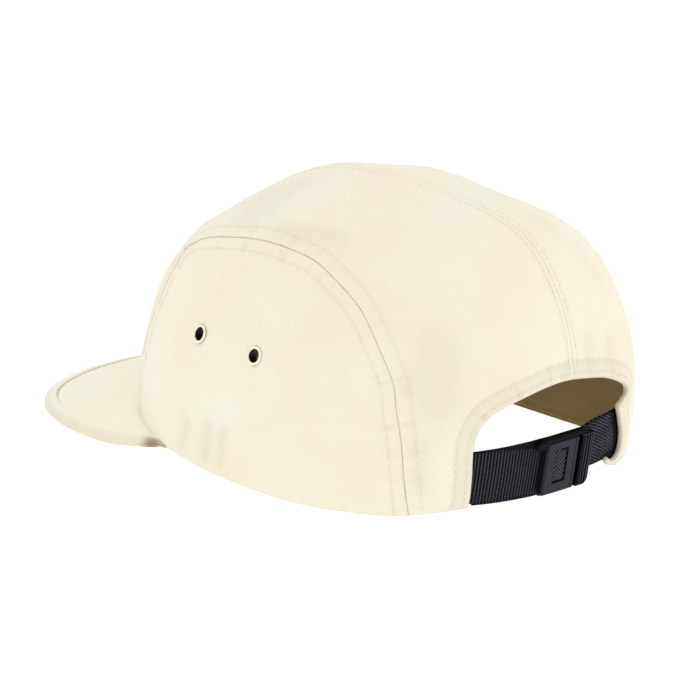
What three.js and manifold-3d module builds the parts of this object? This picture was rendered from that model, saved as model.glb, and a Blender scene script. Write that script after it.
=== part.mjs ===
// A five panel cap that stands on its rim and on the edge of its peak.
// Millimetres, +Z up. The peak points to -Y and the wearer's left is +X.
// Modelled round the middle of the rim, then moved so that the box's middle is at X = Y = 0.

import * as THREE from "three";
import { mergeVertices } from "three/addons/utils/BufferGeometryUtils.js";
import Module from "manifold-3d";

const wasm = await Module();
wasm.setup();

// Crown: the rim in plan, and the height of the button point over it
const RIM_HALF_WIDTH = 78.5;
const RIM_FRONT = 106;
const RIM_BACK = 84;
const RIM_SQUARENESS = 2.5;
const CROWN_HEIGHT = 109.5;
const TOP_SHIFT_BACK = 14;
const TOP_FALL = 10.6;
const WALL_BULGE = 2.2;
const CLOTH = 2.2;

// Rim line: flat where it stands, lifted towards the peak and a little over the strap
const RIM_LIFT_FRONT = 12.5;
const RIM_LIFT_BACK = 3;
const FLAT_FROM = 20;
const FLAT_TO = 54;

// Clearances: between pieces that touch, and past the object for whatever only cuts
const GAP = 0.3;
const REACH = 40;

// Peak
const PEAK_DEPTH = 54;
const PEAK_INSET = 6.2;
const PEAK_THICKNESS = 2.4;
const PEAK_ARCH = 4;
const PEAK_SWELL = 1.5;
const PEAK_SEAT = 0.6;
const PEAK_ROOT = 10;
const PEAK_HALF_WIDTH = RIM_HALF_WIDTH - PEAK_INSET;

// Opening at the back, over the strap
const ARCH_HALF_WIDTH = 45;
const ARCH_HEIGHT = 45.6;

// Sweatband inside the rim
const SWEATBAND_HEIGHT = 27;
const SWEATBAND_THICKNESS = 1.2;
const SWEATBAND_INSET = 0.8;

// Strap: two lengths of webbing that end behind the back panels
const STRAP_THICKNESS = 1.4;
const STRAP_TUCK = 8;
const STRAP_LEFT = { bottom: 1.8, height: 22.8 };
const STRAP_RIGHT = { bottom: 7, height: 19.4 };
const STRAP_PARTING = 1;

// Buckle, measured as seen from behind. It sits a little to the left and over the strap's middle.
const BUCKLE_WIDTH = 26;
const BUCKLE_HEIGHT = 23.4;
const BUCKLE_THICKNESS = 2.6;
const BUCKLE_OFFSET = 1.15;
const BUCKLE_RISE = 0.7;
const BUCKLE_CORNER = 3;
const BUCKLE_RAIL = 2.2;
const BUCKLE_SILL = 0.8;
const BUCKLE_EDGE = 0.8;
const BUCKLE_BAR = 6.4;
const HOOK_REACH = 3;
const LEVER_WIDTH = 16.7;
const LEVER_THICKNESS = 2.3;
const LEVER_CORNER = 0.5;
const GRIP_LEFT = 4.3;
const GRIP_RIGHT = 5;
const GRIP_BELOW = 3.9;
const GRIP_ABOVE = 1.9;
const GRIP_DEPTH = 0.7;

// Eyelets
const EYELET_BORE = 5.2;
const EYELET_FLANGE = 7.4;
const EYELET_BARREL = 6.2;
const EYELET_PROUD = 0.6;
const EYELET_SIDES = 14;

// How finely the faceted solids are divided
const COLUMNS = 72;
const ROWS = 19;
const PEAK_COLUMNS = 36;
const PEAK_ROWS = 6;
const PROFILE_STEPS = 160;
const SEAM_STEPS = 28;
const STRAP_ROWS = 2;

// How the wall runs up from the rim, by direction: the plan's taper and the climb's fullness
const SECTIONS = {
  front: { taper: 2.1, fullness: 2.85 },
  side: { taper: 2.5, fullness: 2.0 },
  back: { taper: 4.3, fullness: 2.1 },
};

// Upper edge of a side panel: along is -1 at the rim's front and 1 at its back, up is of the height
const SIDE_SEAM = [
  { along: -0.66, up: 0.7 },
  { along: -0.57, up: 0.753 },
  { along: -0.415, up: 0.792 },
  { along: -0.21, up: 0.814 },
  { along: 0.0, up: 0.8 },
  { along: 0.18, up: 0.762 },
  { along: 0.44, up: 0.665 },
  { along: 0.64, up: 0.497 },
  { along: 0.7, up: 0.363 },
  { along: 0.73, up: 0.234 },
  { along: 0.735, up: 0.0 },
];
const SIDE_SEAM_FRONT_FOOT = { along: -0.85, up: 0 };

// Where the front panel's top seam would run on if it were carried past the crown
const FRONT_SEAM_SLOPE = 0.5;

// Edge of the back opening: side is of the half width, left is positive, and up is of its height.
// The right tab swells over the webbing and ends in a small toe that hooks round under it.
const ARCH_EDGE = [
  { side: 1.03, up: 0.0 },
  { side: 0.975, up: 0.08 },
  { side: 0.985, up: 0.3 },
  { side: 1.0, up: 0.56 },
  { side: 0.96, up: 0.725 },
  { side: 0.86, up: 0.835 },
  { side: 0.66, up: 0.915 },
  { side: 0.35, up: 0.985 },
  { side: 0.05, up: 1.0 },
  { side: -0.34, up: 0.945 },
  { side: -0.53, up: 0.893 },
  { side: -0.67, up: 0.837 },
  { side: -0.78, up: 0.785 },
  { side: -0.84, up: 0.74 },
  { side: -0.84, up: 0.7 },
  { side: -0.76, up: 0.67 },
  { side: -0.665, up: 0.63 },
  { side: -0.7, up: 0.55 },
  { side: -0.75, up: 0.46 },
  { side: -0.81, up: 0.355 },
  { side: -0.845, up: 0.25 },
  { side: -0.835, up: 0.17 },
  { side: -0.76, up: 0.135 },
  { side: -0.67, up: 0.145 },
  { side: -0.605, up: 0.185 },
  { side: -0.57, up: 0.165 },
  { side: -0.61, up: 0.12 },
  { side: -0.7, up: 0.09 },
  { side: -0.8, up: 0.06 },
  { side: -0.82, up: 0.0 },
];

// Eyelets of the left side: degrees round the rim from +X, and share of the way up the wall
const EYELETS = [
  { name: "front", turn: -20.8, rise: 0.311 },
  { name: "rear", turn: -4.2, rise: 0.332 },
];

// Folds and dents, each along a line on the crown: degrees round the rim and share of the way up
// at both ends, then width and depth as shares of the crown's height. A ridge has a positive depth.
const FOLDS = [
  { turn1: -44, rise1: 0.613, turn2: -44, rise2: 0.62, widthShare: 0.1, depthShare: -0.013 },
  { turn1: -60, rise1: 0.677, turn2: -58, rise2: 0.69, widthShare: 0.08, depthShare: -0.011 },
  { turn1: -21, rise1: 0.641, turn2: -1, rise2: 0.693, widthShare: 0.05, depthShare: -0.011 },
  { turn1: -22, rise1: 0.68, turn2: -2, rise2: 0.74, widthShare: 0.05, depthShare: 0.008 },
  { turn1: 127, rise1: 0.782, turn2: 117, rise2: 0.655, widthShare: 0.045, depthShare: 0.009 },
  { turn1: 117, rise1: 0.655, turn2: 122, rise2: 0.515, widthShare: 0.045, depthShare: 0.009 },
  { turn1: 110, rise1: 0.7, turn2: 112, rise2: 0.52, widthShare: 0.06, depthShare: -0.008 },
  { turn1: 47.8, rise1: 0.382, turn2: 40, rise2: 0.328, widthShare: 0.045, depthShare: -0.012 },
  { turn1: 46.6, rise1: 0.404, turn2: 47.6, rise2: 0.285, widthShare: 0.08, depthShare: -0.01 },
  { turn1: 43.8, rise1: 0.178, turn2: 45, rise2: 0.084, widthShare: 0.04, depthShare: -0.008 },
  { turn1: -19.5, rise1: 0.02, turn2: -17.9, rise2: 0.099, widthShare: 0.04, depthShare: -0.009 },
  { turn1: -11.7, rise1: 0.02, turn2: -11.5, rise2: 0.114, widthShare: 0.04, depthShare: -0.01 },
  { turn1: -7.5, rise1: 0.02, turn2: -7.2, rise2: 0.121, widthShare: 0.035, depthShare: -0.008 },
  { turn1: -62.5, rise1: 0.36, turn2: -67.5, rise2: 0.437, widthShare: 0.12, depthShare: 0.008 },
  { turn1: -72, rise1: 0.51, turn2: -76, rise2: 0.56, widthShare: 0.08, depthShare: -0.012 },
  { turn1: -98, rise1: 0.67, turn2: -98, rise2: 0.7, widthShare: 0.12, depthShare: 0.012 },
  { turn1: 205, rise1: 0.79, turn2: 195, rise2: 0.8, widthShare: 0.1, depthShare: 0.008 },
  { turn1: 147, rise1: 0.74, turn2: 149, rise2: 0.78, widthShare: 0.08, depthShare: -0.008 },
  { turn1: 130, rise1: 0.53, turn2: 131, rise2: 0.58, widthShare: 0.1, depthShare: 0.008 },
  { turn1: 95, rise1: 0.37, turn2: 94, rise2: 0.31, widthShare: 0.035, depthShare: -0.008 },
  { turn1: 104, rise1: 0.35, turn2: 103, rise2: 0.29, widthShare: 0.035, depthShare: -0.008 },
  { turn1: 196, rise1: 0.62, turn2: 182, rise2: 0.67, widthShare: 0.05, depthShare: -0.01 },
  { turn1: 190, rise1: 0.02, turn2: 189, rise2: 0.11, widthShare: 0.04, depthShare: -0.009 },
];
const FOLD_FADE_SHARE = 0.06;

const FABRIC = { color: 0xf1e8cf, roughness: 0.9, metalness: 0 };
const PEAK_FABRIC = { color: 0xefe5ca, roughness: 0.9, metalness: 0 };
const LINING = { color: 0x5f4e30, roughness: 0.95, metalness: 0 };
const WEBBING = { color: 0x232127, roughness: 0.8, metalness: 0 };
const PLASTIC = { color: 0x26232b, roughness: 0.45, metalness: 0 };
const ENAMEL = { color: 0xe9dcbd, roughness: 0.4, metalness: 0.5 };

const radians = THREE.MathUtils.degToRad;
const FRONT_TURN = -90;
const BACK_TURN = 90;

function smooth(share) {
  const s = THREE.MathUtils.clamp(share, 0, 1);
  return s * s * (3 - 2 * s);
}

function signedPower(value, power) {
  return Math.sign(value) * Math.abs(value) ** power;
}

// Height of the rim's lower edge over the surface, at a place along the cap
function rimHeight(y) {
  const ahead = Math.max(0, (FLAT_FROM - y) / (FLAT_FROM + RIM_FRONT));
  const behind = (y - FLAT_TO) / (RIM_BACK - FLAT_TO);
  return RIM_LIFT_FRONT * ahead ** 1.4 + RIM_LIFT_BACK * smooth(behind);
}

// The crown's outer surface without its folds. climb is 0 at the rim and 1 at the top.
function crownPoint(turn, climb) {
  const cos = Math.cos(radians(turn));
  const sin = Math.sin(radians(turn));
  const reach = sin > 0 ? RIM_BACK : RIM_FRONT;
  const x = RIM_HALF_WIDTH * signedPower(cos, 2 / RIM_SQUARENESS);
  const y = reach * signedPower(sin, 2 / RIM_SQUARENESS);
  const end = sin > 0 ? SECTIONS.back : SECTIONS.front;
  const taper = THREE.MathUtils.lerp(SECTIONS.side.taper, end.taper, sin * sin);
  const fullness = THREE.MathUtils.lerp(SECTIONS.side.fullness, end.fullness, sin * sin);
  const angle = (climb * Math.PI) / 2;
  const inward = Math.max(Math.cos(angle), 0) ** (2 / taper);
  const upward = Math.sin(angle) ** (2 / fullness);
  const bulge = WALL_BULGE * Math.sin(Math.PI * Math.min(upward / 0.8, 1));
  const spread = inward * (1 + bulge / RIM_HALF_WIDTH);
  const py = y * spread + TOP_SHIFT_BACK * upward;
  const top = CROWN_HEIGHT - (TOP_FALL * py) / RIM_BACK;
  return new THREE.Vector3(x * spread, py, top * upward + rimHeight(y) * (1 - upward));
}

// Profiles run from the rim to the top at one turn, with the length run so far
const profiles = new Map();

function profileAt(turn) {
  const key = turn.toFixed(4);
  if (!profiles.has(key)) {
    const points = [];
    const lengths = [0];
    for (let i = 0; i <= PROFILE_STEPS; i++) {
      points.push(crownPoint(turn, i / PROFILE_STEPS));
      if (i > 0) {
        lengths.push(lengths[i - 1] + points[i].distanceTo(points[i - 1]));
      }
    }
    profiles.set(key, { points, lengths });
  }
  return profiles.get(key);
}

// Climb at which a profile has run a share of its length
function climbAtRise(turn, rise) {
  const { lengths } = profileAt(turn);
  const target = THREE.MathUtils.clamp(rise, 0, 1) * lengths[PROFILE_STEPS];
  let i = 1;
  while (i < PROFILE_STEPS && lengths[i] < target) {
    i++;
  }
  const part = (target - lengths[i - 1]) / (lengths[i] - lengths[i - 1]);
  return (i - 1 + part) / PROFILE_STEPS;
}

// Climb at which a profile reaches a height
function climbAtHeight(turn, height) {
  let low = 0;
  let high = 0.9;
  for (let i = 0; i < 40; i++) {
    const middle = (low + high) / 2;
    if (crownPoint(turn, middle).z < height) {
      low = middle;
    } else {
      high = middle;
    }
  }
  return (low + high) / 2;
}

function smoothNormal(turn, climb) {
  const around = crownPoint(turn + 0.5, climb).sub(crownPoint(turn - 0.5, climb));
  const above = crownPoint(turn, Math.min(climb + 0.01, 1));
  const below = crownPoint(turn, Math.max(climb - 0.01, 0));
  if (climb > 0.995) {
    return new THREE.Vector3(0, 0, 1);
  }
  const normal = around.cross(above.sub(below));
  if (climb < 0.001) {
    normal.z = 0;
  }
  return normal.normalize();
}

const foldLines = FOLDS.map((fold) => ({
  line: new THREE.Line3(
    crownPoint(fold.turn1, climbAtRise(fold.turn1, fold.rise1)),
    crownPoint(fold.turn2, climbAtRise(fold.turn2, fold.rise2)),
  ),
  width: fold.widthShare * CROWN_HEIGHT,
  depth: fold.depthShare * CROWN_HEIGHT,
}));

// How far the folds push the cloth out at a point
function foldRelief(point) {
  const nearest = new THREE.Vector3();
  let relief = 0;
  for (const fold of foldLines) {
    fold.line.closestPointToPoint(point, true, nearest);
    relief += fold.depth * Math.exp(-((point.distanceTo(nearest) / fold.width) ** 2));
  }
  return relief * smooth((point.z - rimHeight(point.y)) / (FOLD_FADE_SHARE * CROWN_HEIGHT));
}

// A point of the cloth, at a depth under its outer face
function clothPoint(turn, climb, depth) {
  const point = crownPoint(turn, climb);
  const relief = foldRelief(point);
  return point.addScaledVector(smoothNormal(turn, climb), relief - depth);
}

// The same by height, which may be under the rim, as the strap's lower edge is
function wallPoint(turn, height, depth) {
  const rim = crownPoint(turn, 0);
  if (height <= rim.z) {
    rim.addScaledVector(smoothNormal(turn, 0), -depth);
    rim.z = height;
    return rim;
  }
  return clothPoint(turn, climbAtHeight(turn, height), depth);
}

// Turns that part the rim into equal lengths, from the front round by the left
function rimTurns(count) {
  const samples = 1440;
  const lengths = [0];
  for (let i = 1; i <= samples; i++) {
    const from = crownPoint(FRONT_TURN + (360 * (i - 1)) / samples, 0);
    const to = crownPoint(FRONT_TURN + (360 * i) / samples, 0);
    lengths.push(lengths[i - 1] + from.distanceTo(to));
  }
  const turns = [];
  let i = 1;
  for (let k = 0; k < count; k++) {
    const target = (lengths[samples] * k) / count;
    while (lengths[i] < target) {
      i++;
    }
    const part = (target - lengths[i - 1]) / (lengths[i] - lengths[i - 1]);
    turns.push(FRONT_TURN + (360 * (i - 1 + part)) / samples);
  }
  return turns;
}

const TURNS = rimTurns(COLUMNS);

// Turn at which the back of the rim is a distance to the left of the middle
function backTurn(x) {
  const share = THREE.MathUtils.clamp(Math.abs(x) / RIM_HALF_WIDTH, 0, 1);
  const turn = THREE.MathUtils.radToDeg(Math.acos(share ** (RIM_SQUARENESS / 2)));
  return x < 0 ? 180 - turn : turn;
}

// Y of the rim's front edge at a distance from the middle
function rimFrontY(x) {
  const share = Math.min(Math.abs(x) / RIM_HALF_WIDTH, 1);
  return -RIM_FRONT * (1 - share ** RIM_SQUARENESS) ** (1 / RIM_SQUARENESS);
}

function geometryFrom(points, triangles) {
  const geometry = new THREE.BufferGeometry();
  const positions = new Float32Array(points.flatMap((p) => [p.x, p.y, p.z]));
  geometry.setAttribute("position", new THREE.BufferAttribute(positions, 3));
  geometry.setIndex(triangles);
  return geometry;
}

function solidFrom(geometry) {
  const bare = geometry.clone();
  bare.deleteAttribute("normal");
  bare.deleteAttribute("uv");
  const merged = mergeVertices(bare, 1e-4);
  const mesh = new wasm.Mesh({
    numProp: 3,
    vertProperties: new Float32Array(merged.attributes.position.array),
    triVerts: new Uint32Array(merged.index.array),
  });
  return new wasm.Manifold(mesh);
}

function geometryOf(solid) {
  const mesh = solid.getMesh();
  const geometry = new THREE.BufferGeometry();
  geometry.setAttribute("position", new THREE.BufferAttribute(mesh.vertProperties, 3));
  geometry.setIndex(new THREE.BufferAttribute(mesh.triVerts, 1));
  return geometry;
}

// Rings of points joined into a skin that faces out, or in for the inside of a wall
function joinRings(triangles, lower, upper, count, inward = false) {
  for (let i = 0; i < count; i++) {
    const next = (i + 1) % count;
    for (const [a, b, c] of [
      [lower + i, lower + next, upper + next],
      [lower + i, upper + next, upper + i],
    ]) {
      triangles.push(a, inward ? c : b, inward ? b : c);
    }
  }
}

// The cloth of the whole crown as one bowl, open below
function crownShell() {
  const points = [];
  const triangles = [];
  for (const depth of [0, CLOTH]) {
    for (let row = 0; row < ROWS; row++) {
      for (const turn of TURNS) {
        points.push(clothPoint(turn, climbAtRise(turn, row / ROWS), depth));
      }
    }
    points.push(clothPoint(BACK_TURN, 1, depth));
  }
  const skin = ROWS * COLUMNS + 1;
  for (let row = 0; row < ROWS - 1; row++) {
    joinRings(triangles, row * COLUMNS, (row + 1) * COLUMNS, COLUMNS);
    joinRings(triangles, skin + row * COLUMNS, skin + (row + 1) * COLUMNS, COLUMNS, true);
  }
  const last = (ROWS - 1) * COLUMNS;
  for (let i = 0; i < COLUMNS; i++) {
    const next = (i + 1) % COLUMNS;
    triangles.push(last + i, last + next, skin - 1);
    triangles.push(skin + last + next, skin + last + i, 2 * skin - 1);
  }
  joinRings(triangles, skin, 0, COLUMNS);
  return solidFrom(geometryFrom(points, triangles));
}

// The crown's outer form filled in and carried below the rim, to cut what meets it
function crownPlug(clearance) {
  const points = [];
  const triangles = [];
  for (const turn of TURNS) {
    const rim = clothPoint(turn, 0, -clearance);
    rim.z -= REACH;
    points.push(rim);
  }
  for (let row = 0; row < ROWS; row++) {
    for (const turn of TURNS) {
      points.push(clothPoint(turn, climbAtRise(turn, row / ROWS), -clearance));
    }
  }
  points.push(clothPoint(BACK_TURN, 1, -clearance));
  points.push(new THREE.Vector3(0, 0, -REACH));
  const top = points.length - 2;
  for (let row = 0; row < ROWS; row++) {
    joinRings(triangles, row * COLUMNS, (row + 1) * COLUMNS, COLUMNS);
  }
  const last = ROWS * COLUMNS;
  for (let i = 0; i < COLUMNS; i++) {
    const next = (i + 1) % COLUMNS;
    triangles.push(last + i, last + next, top);
    triangles.push(next, i, top + 1);
  }
  return solidFrom(geometryFrom(points, triangles));
}

// A block of rows and columns of points, given on two faces
function slabFrom(columns, rows, outer, inner) {
  const points = [];
  const triangles = [];
  for (const face of [outer, inner]) {
    for (let row = 0; row <= rows; row++) {
      for (let column = 0; column <= columns; column++) {
        points.push(face(column, row));
      }
    }
  }
  const width = columns + 1;
  const back = width * (rows + 1);
  const quad = (a, b, c, d) => triangles.push(a, b, c, a, c, d);
  for (let row = 0; row < rows; row++) {
    for (let column = 0; column < columns; column++) {
      const i = row * width + column;
      quad(i, i + 1, i + width + 1, i + width);
      quad(back + i, back + i + width, back + i + width + 1, back + i + 1);
    }
    const left = row * width;
    const right = left + columns;
    quad(left, left + width, back + left + width, back + left);
    quad(right, back + right, back + right + width, right + width);
  }
  for (let column = 0; column < columns; column++) {
    const top = rows * width + column;
    quad(column, back + column, back + column + 1, column + 1);
    quad(top, top + 1, back + top + 1, back + top);
  }
  return geometryFrom(points, triangles);
}

// Prisms for cutting: an outline in Y and Z run along X, and one in X and Z run along Y
function prismAlongX(outline, from, to) {
  const shape = new THREE.Shape(outline);
  const geometry = new THREE.ExtrudeGeometry(shape, { depth: to - from, bevelEnabled: false });
  const axes = new THREE.Matrix4().makeBasis(
    new THREE.Vector3(0, 1, 0),
    new THREE.Vector3(0, 0, 1),
    new THREE.Vector3(1, 0, 0),
  );
  return solidFrom(geometry.applyMatrix4(axes).translate(from, 0, 0));
}

function prismAlongY(outline, from, to) {
  const shape = new THREE.Shape(outline);
  const geometry = new THREE.ExtrudeGeometry(shape, { depth: to - from, bevelEnabled: false });
  const axes = new THREE.Matrix4().makeBasis(
    new THREE.Vector3(1, 0, 0),
    new THREE.Vector3(0, 0, 1),
    new THREE.Vector3(0, -1, 0),
  );
  return solidFrom(geometry.applyMatrix4(axes).translate(0, to, 0));
}

// An outline grown by a distance, corner by corner
function grown(outline, distance) {
  const turnsLeft = THREE.ShapeUtils.area(outline) > 0 ? 1 : -1;
  return outline.map((point, i) => {
    const before = outline[(i + outline.length - 1) % outline.length];
    const after = outline[(i + 1) % outline.length];
    const arriving = point.clone().sub(before).normalize();
    const leaving = after.clone().sub(point).normalize();
    const bisector = arriving.clone().add(leaving).normalize();
    const normal = new THREE.Vector2(bisector.y, -bisector.x).multiplyScalar(turnsLeft);
    const across = new THREE.Vector2(leaving.y, -leaving.x).multiplyScalar(turnsLeft);
    return point.clone().addScaledVector(normal, distance / normal.dot(across));
  });
}

function placeOnSide({ along, up }) {
  const length = along < 0 ? RIM_FRONT : RIM_BACK;
  return new THREE.Vector2(along * length, up * CROWN_HEIGHT);
}

// The side panel's outline seen from the side, carried below the rim
function sideOutline() {
  const seam = new THREE.SplineCurve(SIDE_SEAM.map(placeOnSide)).getPoints(SEAM_STEPS);
  const back = seam[seam.length - 1];
  const foot = placeOnSide(SIDE_SEAM_FRONT_FOOT);
  const lean = (seam[0].x - foot.x) / (seam[0].y - foot.y);
  const below = [new THREE.Vector2(back.x, -REACH), new THREE.Vector2(foot.x - lean * REACH, -REACH)];
  return [...seam, ...below].reverse();
}

// What lies before the front panel's top seam, seen from the side
function frontOutline() {
  const corner = placeOnSide(SIDE_SEAM[0]);
  const span = RIM_FRONT + REACH;
  const back = new THREE.Vector2(0, corner.y + FRONT_SEAM_SLOPE * corner.x);
  const front = new THREE.Vector2(-span, corner.y + FRONT_SEAM_SLOPE * (corner.x + span));
  return [back, front, new THREE.Vector2(-span, -REACH), new THREE.Vector2(0, -REACH)];
}

function archOutline() {
  const edge = ARCH_EDGE.map(
    ({ side, up }) => new THREE.Vector2(side * ARCH_HALF_WIDTH, up * ARCH_HEIGHT),
  );
  const points = new THREE.SplineCurve(edge).getPoints(SEAM_STEPS + 8);
  const below = [points[points.length - 1], points[0]].map(({ x }) => new THREE.Vector2(x, -REACH));
  return [...points, ...below];
}

// Frame of a place on the side of the crown, its third axis pointing out of the cloth
function frameOnCrown(turn, rise) {
  const climb = climbAtRise(turn, rise);
  const out = smoothNormal(turn, climb);
  const level = new THREE.Vector3(0, 0, 1).cross(out).normalize();
  const up = out.clone().cross(level);
  const frame = new THREE.Matrix4().makeBasis(level, up, out);
  return frame.setPosition(clothPoint(turn, climb, 0));
}

function eyeletPlaces() {
  const places = [];
  for (const { name, turn, rise } of EYELETS) {
    places.push({ name: `eyelet_left_${name}`, side: "left", frame: frameOnCrown(turn, rise) });
    places.push({ name: `eyelet_right_${name}`, side: "right", frame: frameOnCrown(180 - turn, rise) });
  }
  return places;
}

// A ring with a flange outside the cloth and a barrel through it
function eyeletGeometry() {
  const bore = EYELET_BORE / 2;
  const barrel = EYELET_BARREL / 2;
  const flange = EYELET_FLANGE / 2;
  const profile = [
    new THREE.Vector2(bore, -CLOTH),
    new THREE.Vector2(barrel, -CLOTH),
    new THREE.Vector2(barrel, GAP),
    new THREE.Vector2(flange, GAP),
    new THREE.Vector2(flange - EYELET_PROUD / 2, GAP + EYELET_PROUD),
    new THREE.Vector2(bore, GAP + EYELET_PROUD / 2),
    new THREE.Vector2(bore, -CLOTH),
  ];
  return new THREE.LatheGeometry(profile, EYELET_SIDES).rotateX(Math.PI / 2);
}

function eyeletHole(frame) {
  const radius = EYELET_BARREL / 2 + GAP;
  const length = 4 * CLOTH + EYELET_FLANGE;
  const drill = new THREE.CylinderGeometry(radius, radius, length, EYELET_SIDES).rotateX(Math.PI / 2);
  return solidFrom(drill.applyMatrix4(frame));
}

function crownPanels() {
  const width = RIM_HALF_WIDTH + REACH;
  const side = sideOutline();
  const sideSeam = grown(side, GAP);
  const front = frontOutline();
  const shell = crownShell().subtract(prismAlongY(archOutline(), 0, RIM_BACK + 2 * REACH));
  const holes = { left: [], right: [] };
  for (const place of eyeletPlaces()) {
    holes[place.side].push(eyeletHole(place.frame));
  }
  const sidePanel = (from, to, drills) =>
    drills.reduce((panel, hole) => panel.subtract(hole), shell.intersect(prismAlongX(side, from, to)));
  const rest = shell
    .subtract(prismAlongX(sideSeam, 0, width))
    .subtract(prismAlongX(sideSeam, -width, 0));
  const back = rest.subtract(prismAlongX(grown(front, GAP), -width, width));
  const box = [
    new THREE.Vector2(-width * 2, -REACH),
    new THREE.Vector2(width * 2, -REACH),
    new THREE.Vector2(width * 2, CROWN_HEIGHT * 2),
    new THREE.Vector2(-width * 2, CROWN_HEIGHT * 2),
  ];
  return {
    front_panel: rest.intersect(prismAlongX(front, -width, width)),
    side_panel_left: sidePanel(0, width, holes.left),
    side_panel_right: sidePanel(-width, 0, holes.right),
    back_panel_left: back.intersect(prismAlongX(box, GAP / 2, width)),
    back_panel_right: back.intersect(prismAlongX(box, -width, -GAP / 2)),
  };
}

// The peak: a gently arched sheet that starts inside the crown and is cut clear of it
function peakGeometry() {
  const heel = rimFrontY(PEAK_HALF_WIDTH);
  const tip = -(RIM_FRONT + PEAK_DEPTH);
  const across = (column) => {
    const angle = Math.PI * (column / PEAK_COLUMNS - 0.5);
    const forward = Math.max(Math.cos(angle), 0) ** (2 / 3.1);
    const x = -PEAK_HALF_WIDTH * signedPower(Math.sin(angle), 2 / 2.8);
    return { x, edge: heel + (tip - heel) * forward, forward };
  };
  const place = (column, row, lift) => {
    const { x, edge, forward } = across(column);
    const rim = rimFrontY(x);
    const start = heel + PEAK_ROOT;
    const y = start + ((edge - start) * row) / PEAK_ROWS;
    const out = THREE.MathUtils.clamp((rim - y) / Math.max(rim - edge, GAP), 0, 1);
    const middle = 1 - (x / PEAK_HALF_WIDTH) ** 2;
    const seat = rimHeight(rim) + PEAK_SEAT;
    const lip = PEAK_THICKNESS / 2 + PEAK_ARCH * middle;
    const low = THREE.MathUtils.lerp(seat, lip, smooth(forward / 0.35));
    const swell = PEAK_SWELL * Math.sin(Math.PI * out) * middle;
    return new THREE.Vector3(x, y, THREE.MathUtils.lerp(seat, low, out) + swell + lift);
  };
  const half = PEAK_THICKNESS / 2;
  const slab = slabFrom(
    PEAK_COLUMNS,
    PEAK_ROWS,
    (column, row) => place(column, row, half),
    (column, row) => place(column, row, -half),
  );
  return geometryOf(solidFrom(slab).subtract(crownPlug(GAP)));
}

// The rim's turns between two places, both ends included
function turnsBetween(from, to) {
  const between = [...TURNS, ...TURNS.map((turn) => turn + 360)];
  return [from, ...between.filter((turn) => turn > from + 1 && turn < to - 1), to];
}

// A band that lies inside the cloth. pointAt gives its points by turn, row and depth.
function bandGeometry(turns, rows, thickness, pointAt) {
  return slabFrom(
    turns.length - 1,
    rows,
    (column, row) => pointAt(turns[column], row, UNDER_CLOTH),
    (column, row) => pointAt(turns[column], row, UNDER_CLOTH + thickness),
  );
}

const UNDER_CLOTH = CLOTH + GAP;
const STRAP_END = ARCH_HALF_WIDTH + STRAP_TUCK;
const BUCKLE_RIGHT = BUCKLE_OFFSET - BUCKLE_WIDTH / 2;
const STRAP_SPLIT = BUCKLE_RIGHT + BUCKLE_BAR;

function strapGeometry(fromX, toX, strap) {
  const turns = turnsBetween(backTurn(fromX), backTurn(toX));
  return bandGeometry(turns, STRAP_ROWS, STRAP_THICKNESS, (turn, row, depth) =>
    wallPoint(turn, strap.bottom + (strap.height * row) / STRAP_ROWS, depth),
  );
}

// The sweatband shares the cloth's rows and columns, so that it follows the same folds
function sweatbandGeometry() {
  const end = STRAP_END + 4 * GAP;
  const turns = turnsBetween(backTurn(-end), backTurn(end) + 360).slice(1, -1);
  const lengthAt = (turn) => profileAt(turn).lengths[PROFILE_STEPS];
  const longest = Math.max(...turns.map(lengthAt));
  const shared = Math.floor((SWEATBAND_HEIGHT / longest) * ROWS);
  const riseAt = (turn, row) => {
    if (row > 0 && row <= shared) {
      return row / ROWS;
    }
    const run = row === 0 ? SWEATBAND_INSET : SWEATBAND_INSET + SWEATBAND_HEIGHT;
    return run / lengthAt(turn);
  };
  return bandGeometry(turns, shared + 1, SWEATBAND_THICKNESS, (turn, row, depth) =>
    clothPoint(turn, climbAtRise(turn, riseAt(turn, row)), depth),
  );
}

// The buckle lies on the strap's outer face: its axes run right, up and out as seen from behind
function buckleFrame() {
  const turn = backTurn(BUCKLE_OFFSET);
  const middle = STRAP_LEFT.bottom + STRAP_LEFT.height / 2;
  const low = wallPoint(turn, STRAP_LEFT.bottom, UNDER_CLOTH);
  const high = wallPoint(turn, STRAP_LEFT.bottom + STRAP_LEFT.height, UNDER_CLOTH);
  const right = new THREE.Vector3(-1, 0, 0);
  const up = high.sub(low).setX(0).normalize();
  const out = right.clone().cross(up);
  const seat = wallPoint(turn, middle, UNDER_CLOTH);
  seat.addScaledVector(up, BUCKLE_RISE).addScaledVector(out, 2 * GAP);
  return new THREE.Matrix4().makeBasis(right, up, out).setPosition(seat);
}

function roundedRectangle(left, right, bottom, top, radius, Kind = THREE.Shape) {
  const outline = new Kind();
  outline.moveTo(left + radius, bottom);
  outline.lineTo(right - radius, bottom);
  outline.absarc(right - radius, bottom + radius, radius, -Math.PI / 2, 0, false);
  outline.lineTo(right, top - radius);
  outline.absarc(right - radius, top - radius, radius, 0, Math.PI / 2, false);
  outline.lineTo(left + radius, top);
  outline.absarc(left + radius, top - radius, radius, Math.PI / 2, Math.PI, false);
  outline.lineTo(left, bottom + radius);
  outline.absarc(left + radius, bottom + radius, radius, Math.PI, (3 * Math.PI) / 2, false);
  return outline;
}

const WINDOW = {
  left: -BUCKLE_WIDTH / 2 + BUCKLE_EDGE,
  right: BUCKLE_WIDTH / 2 - BUCKLE_BAR,
  bottom: -BUCKLE_HEIGHT / 2 + BUCKLE_SILL,
  top: BUCKLE_HEIGHT / 2 - BUCKLE_RAIL,
};

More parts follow.
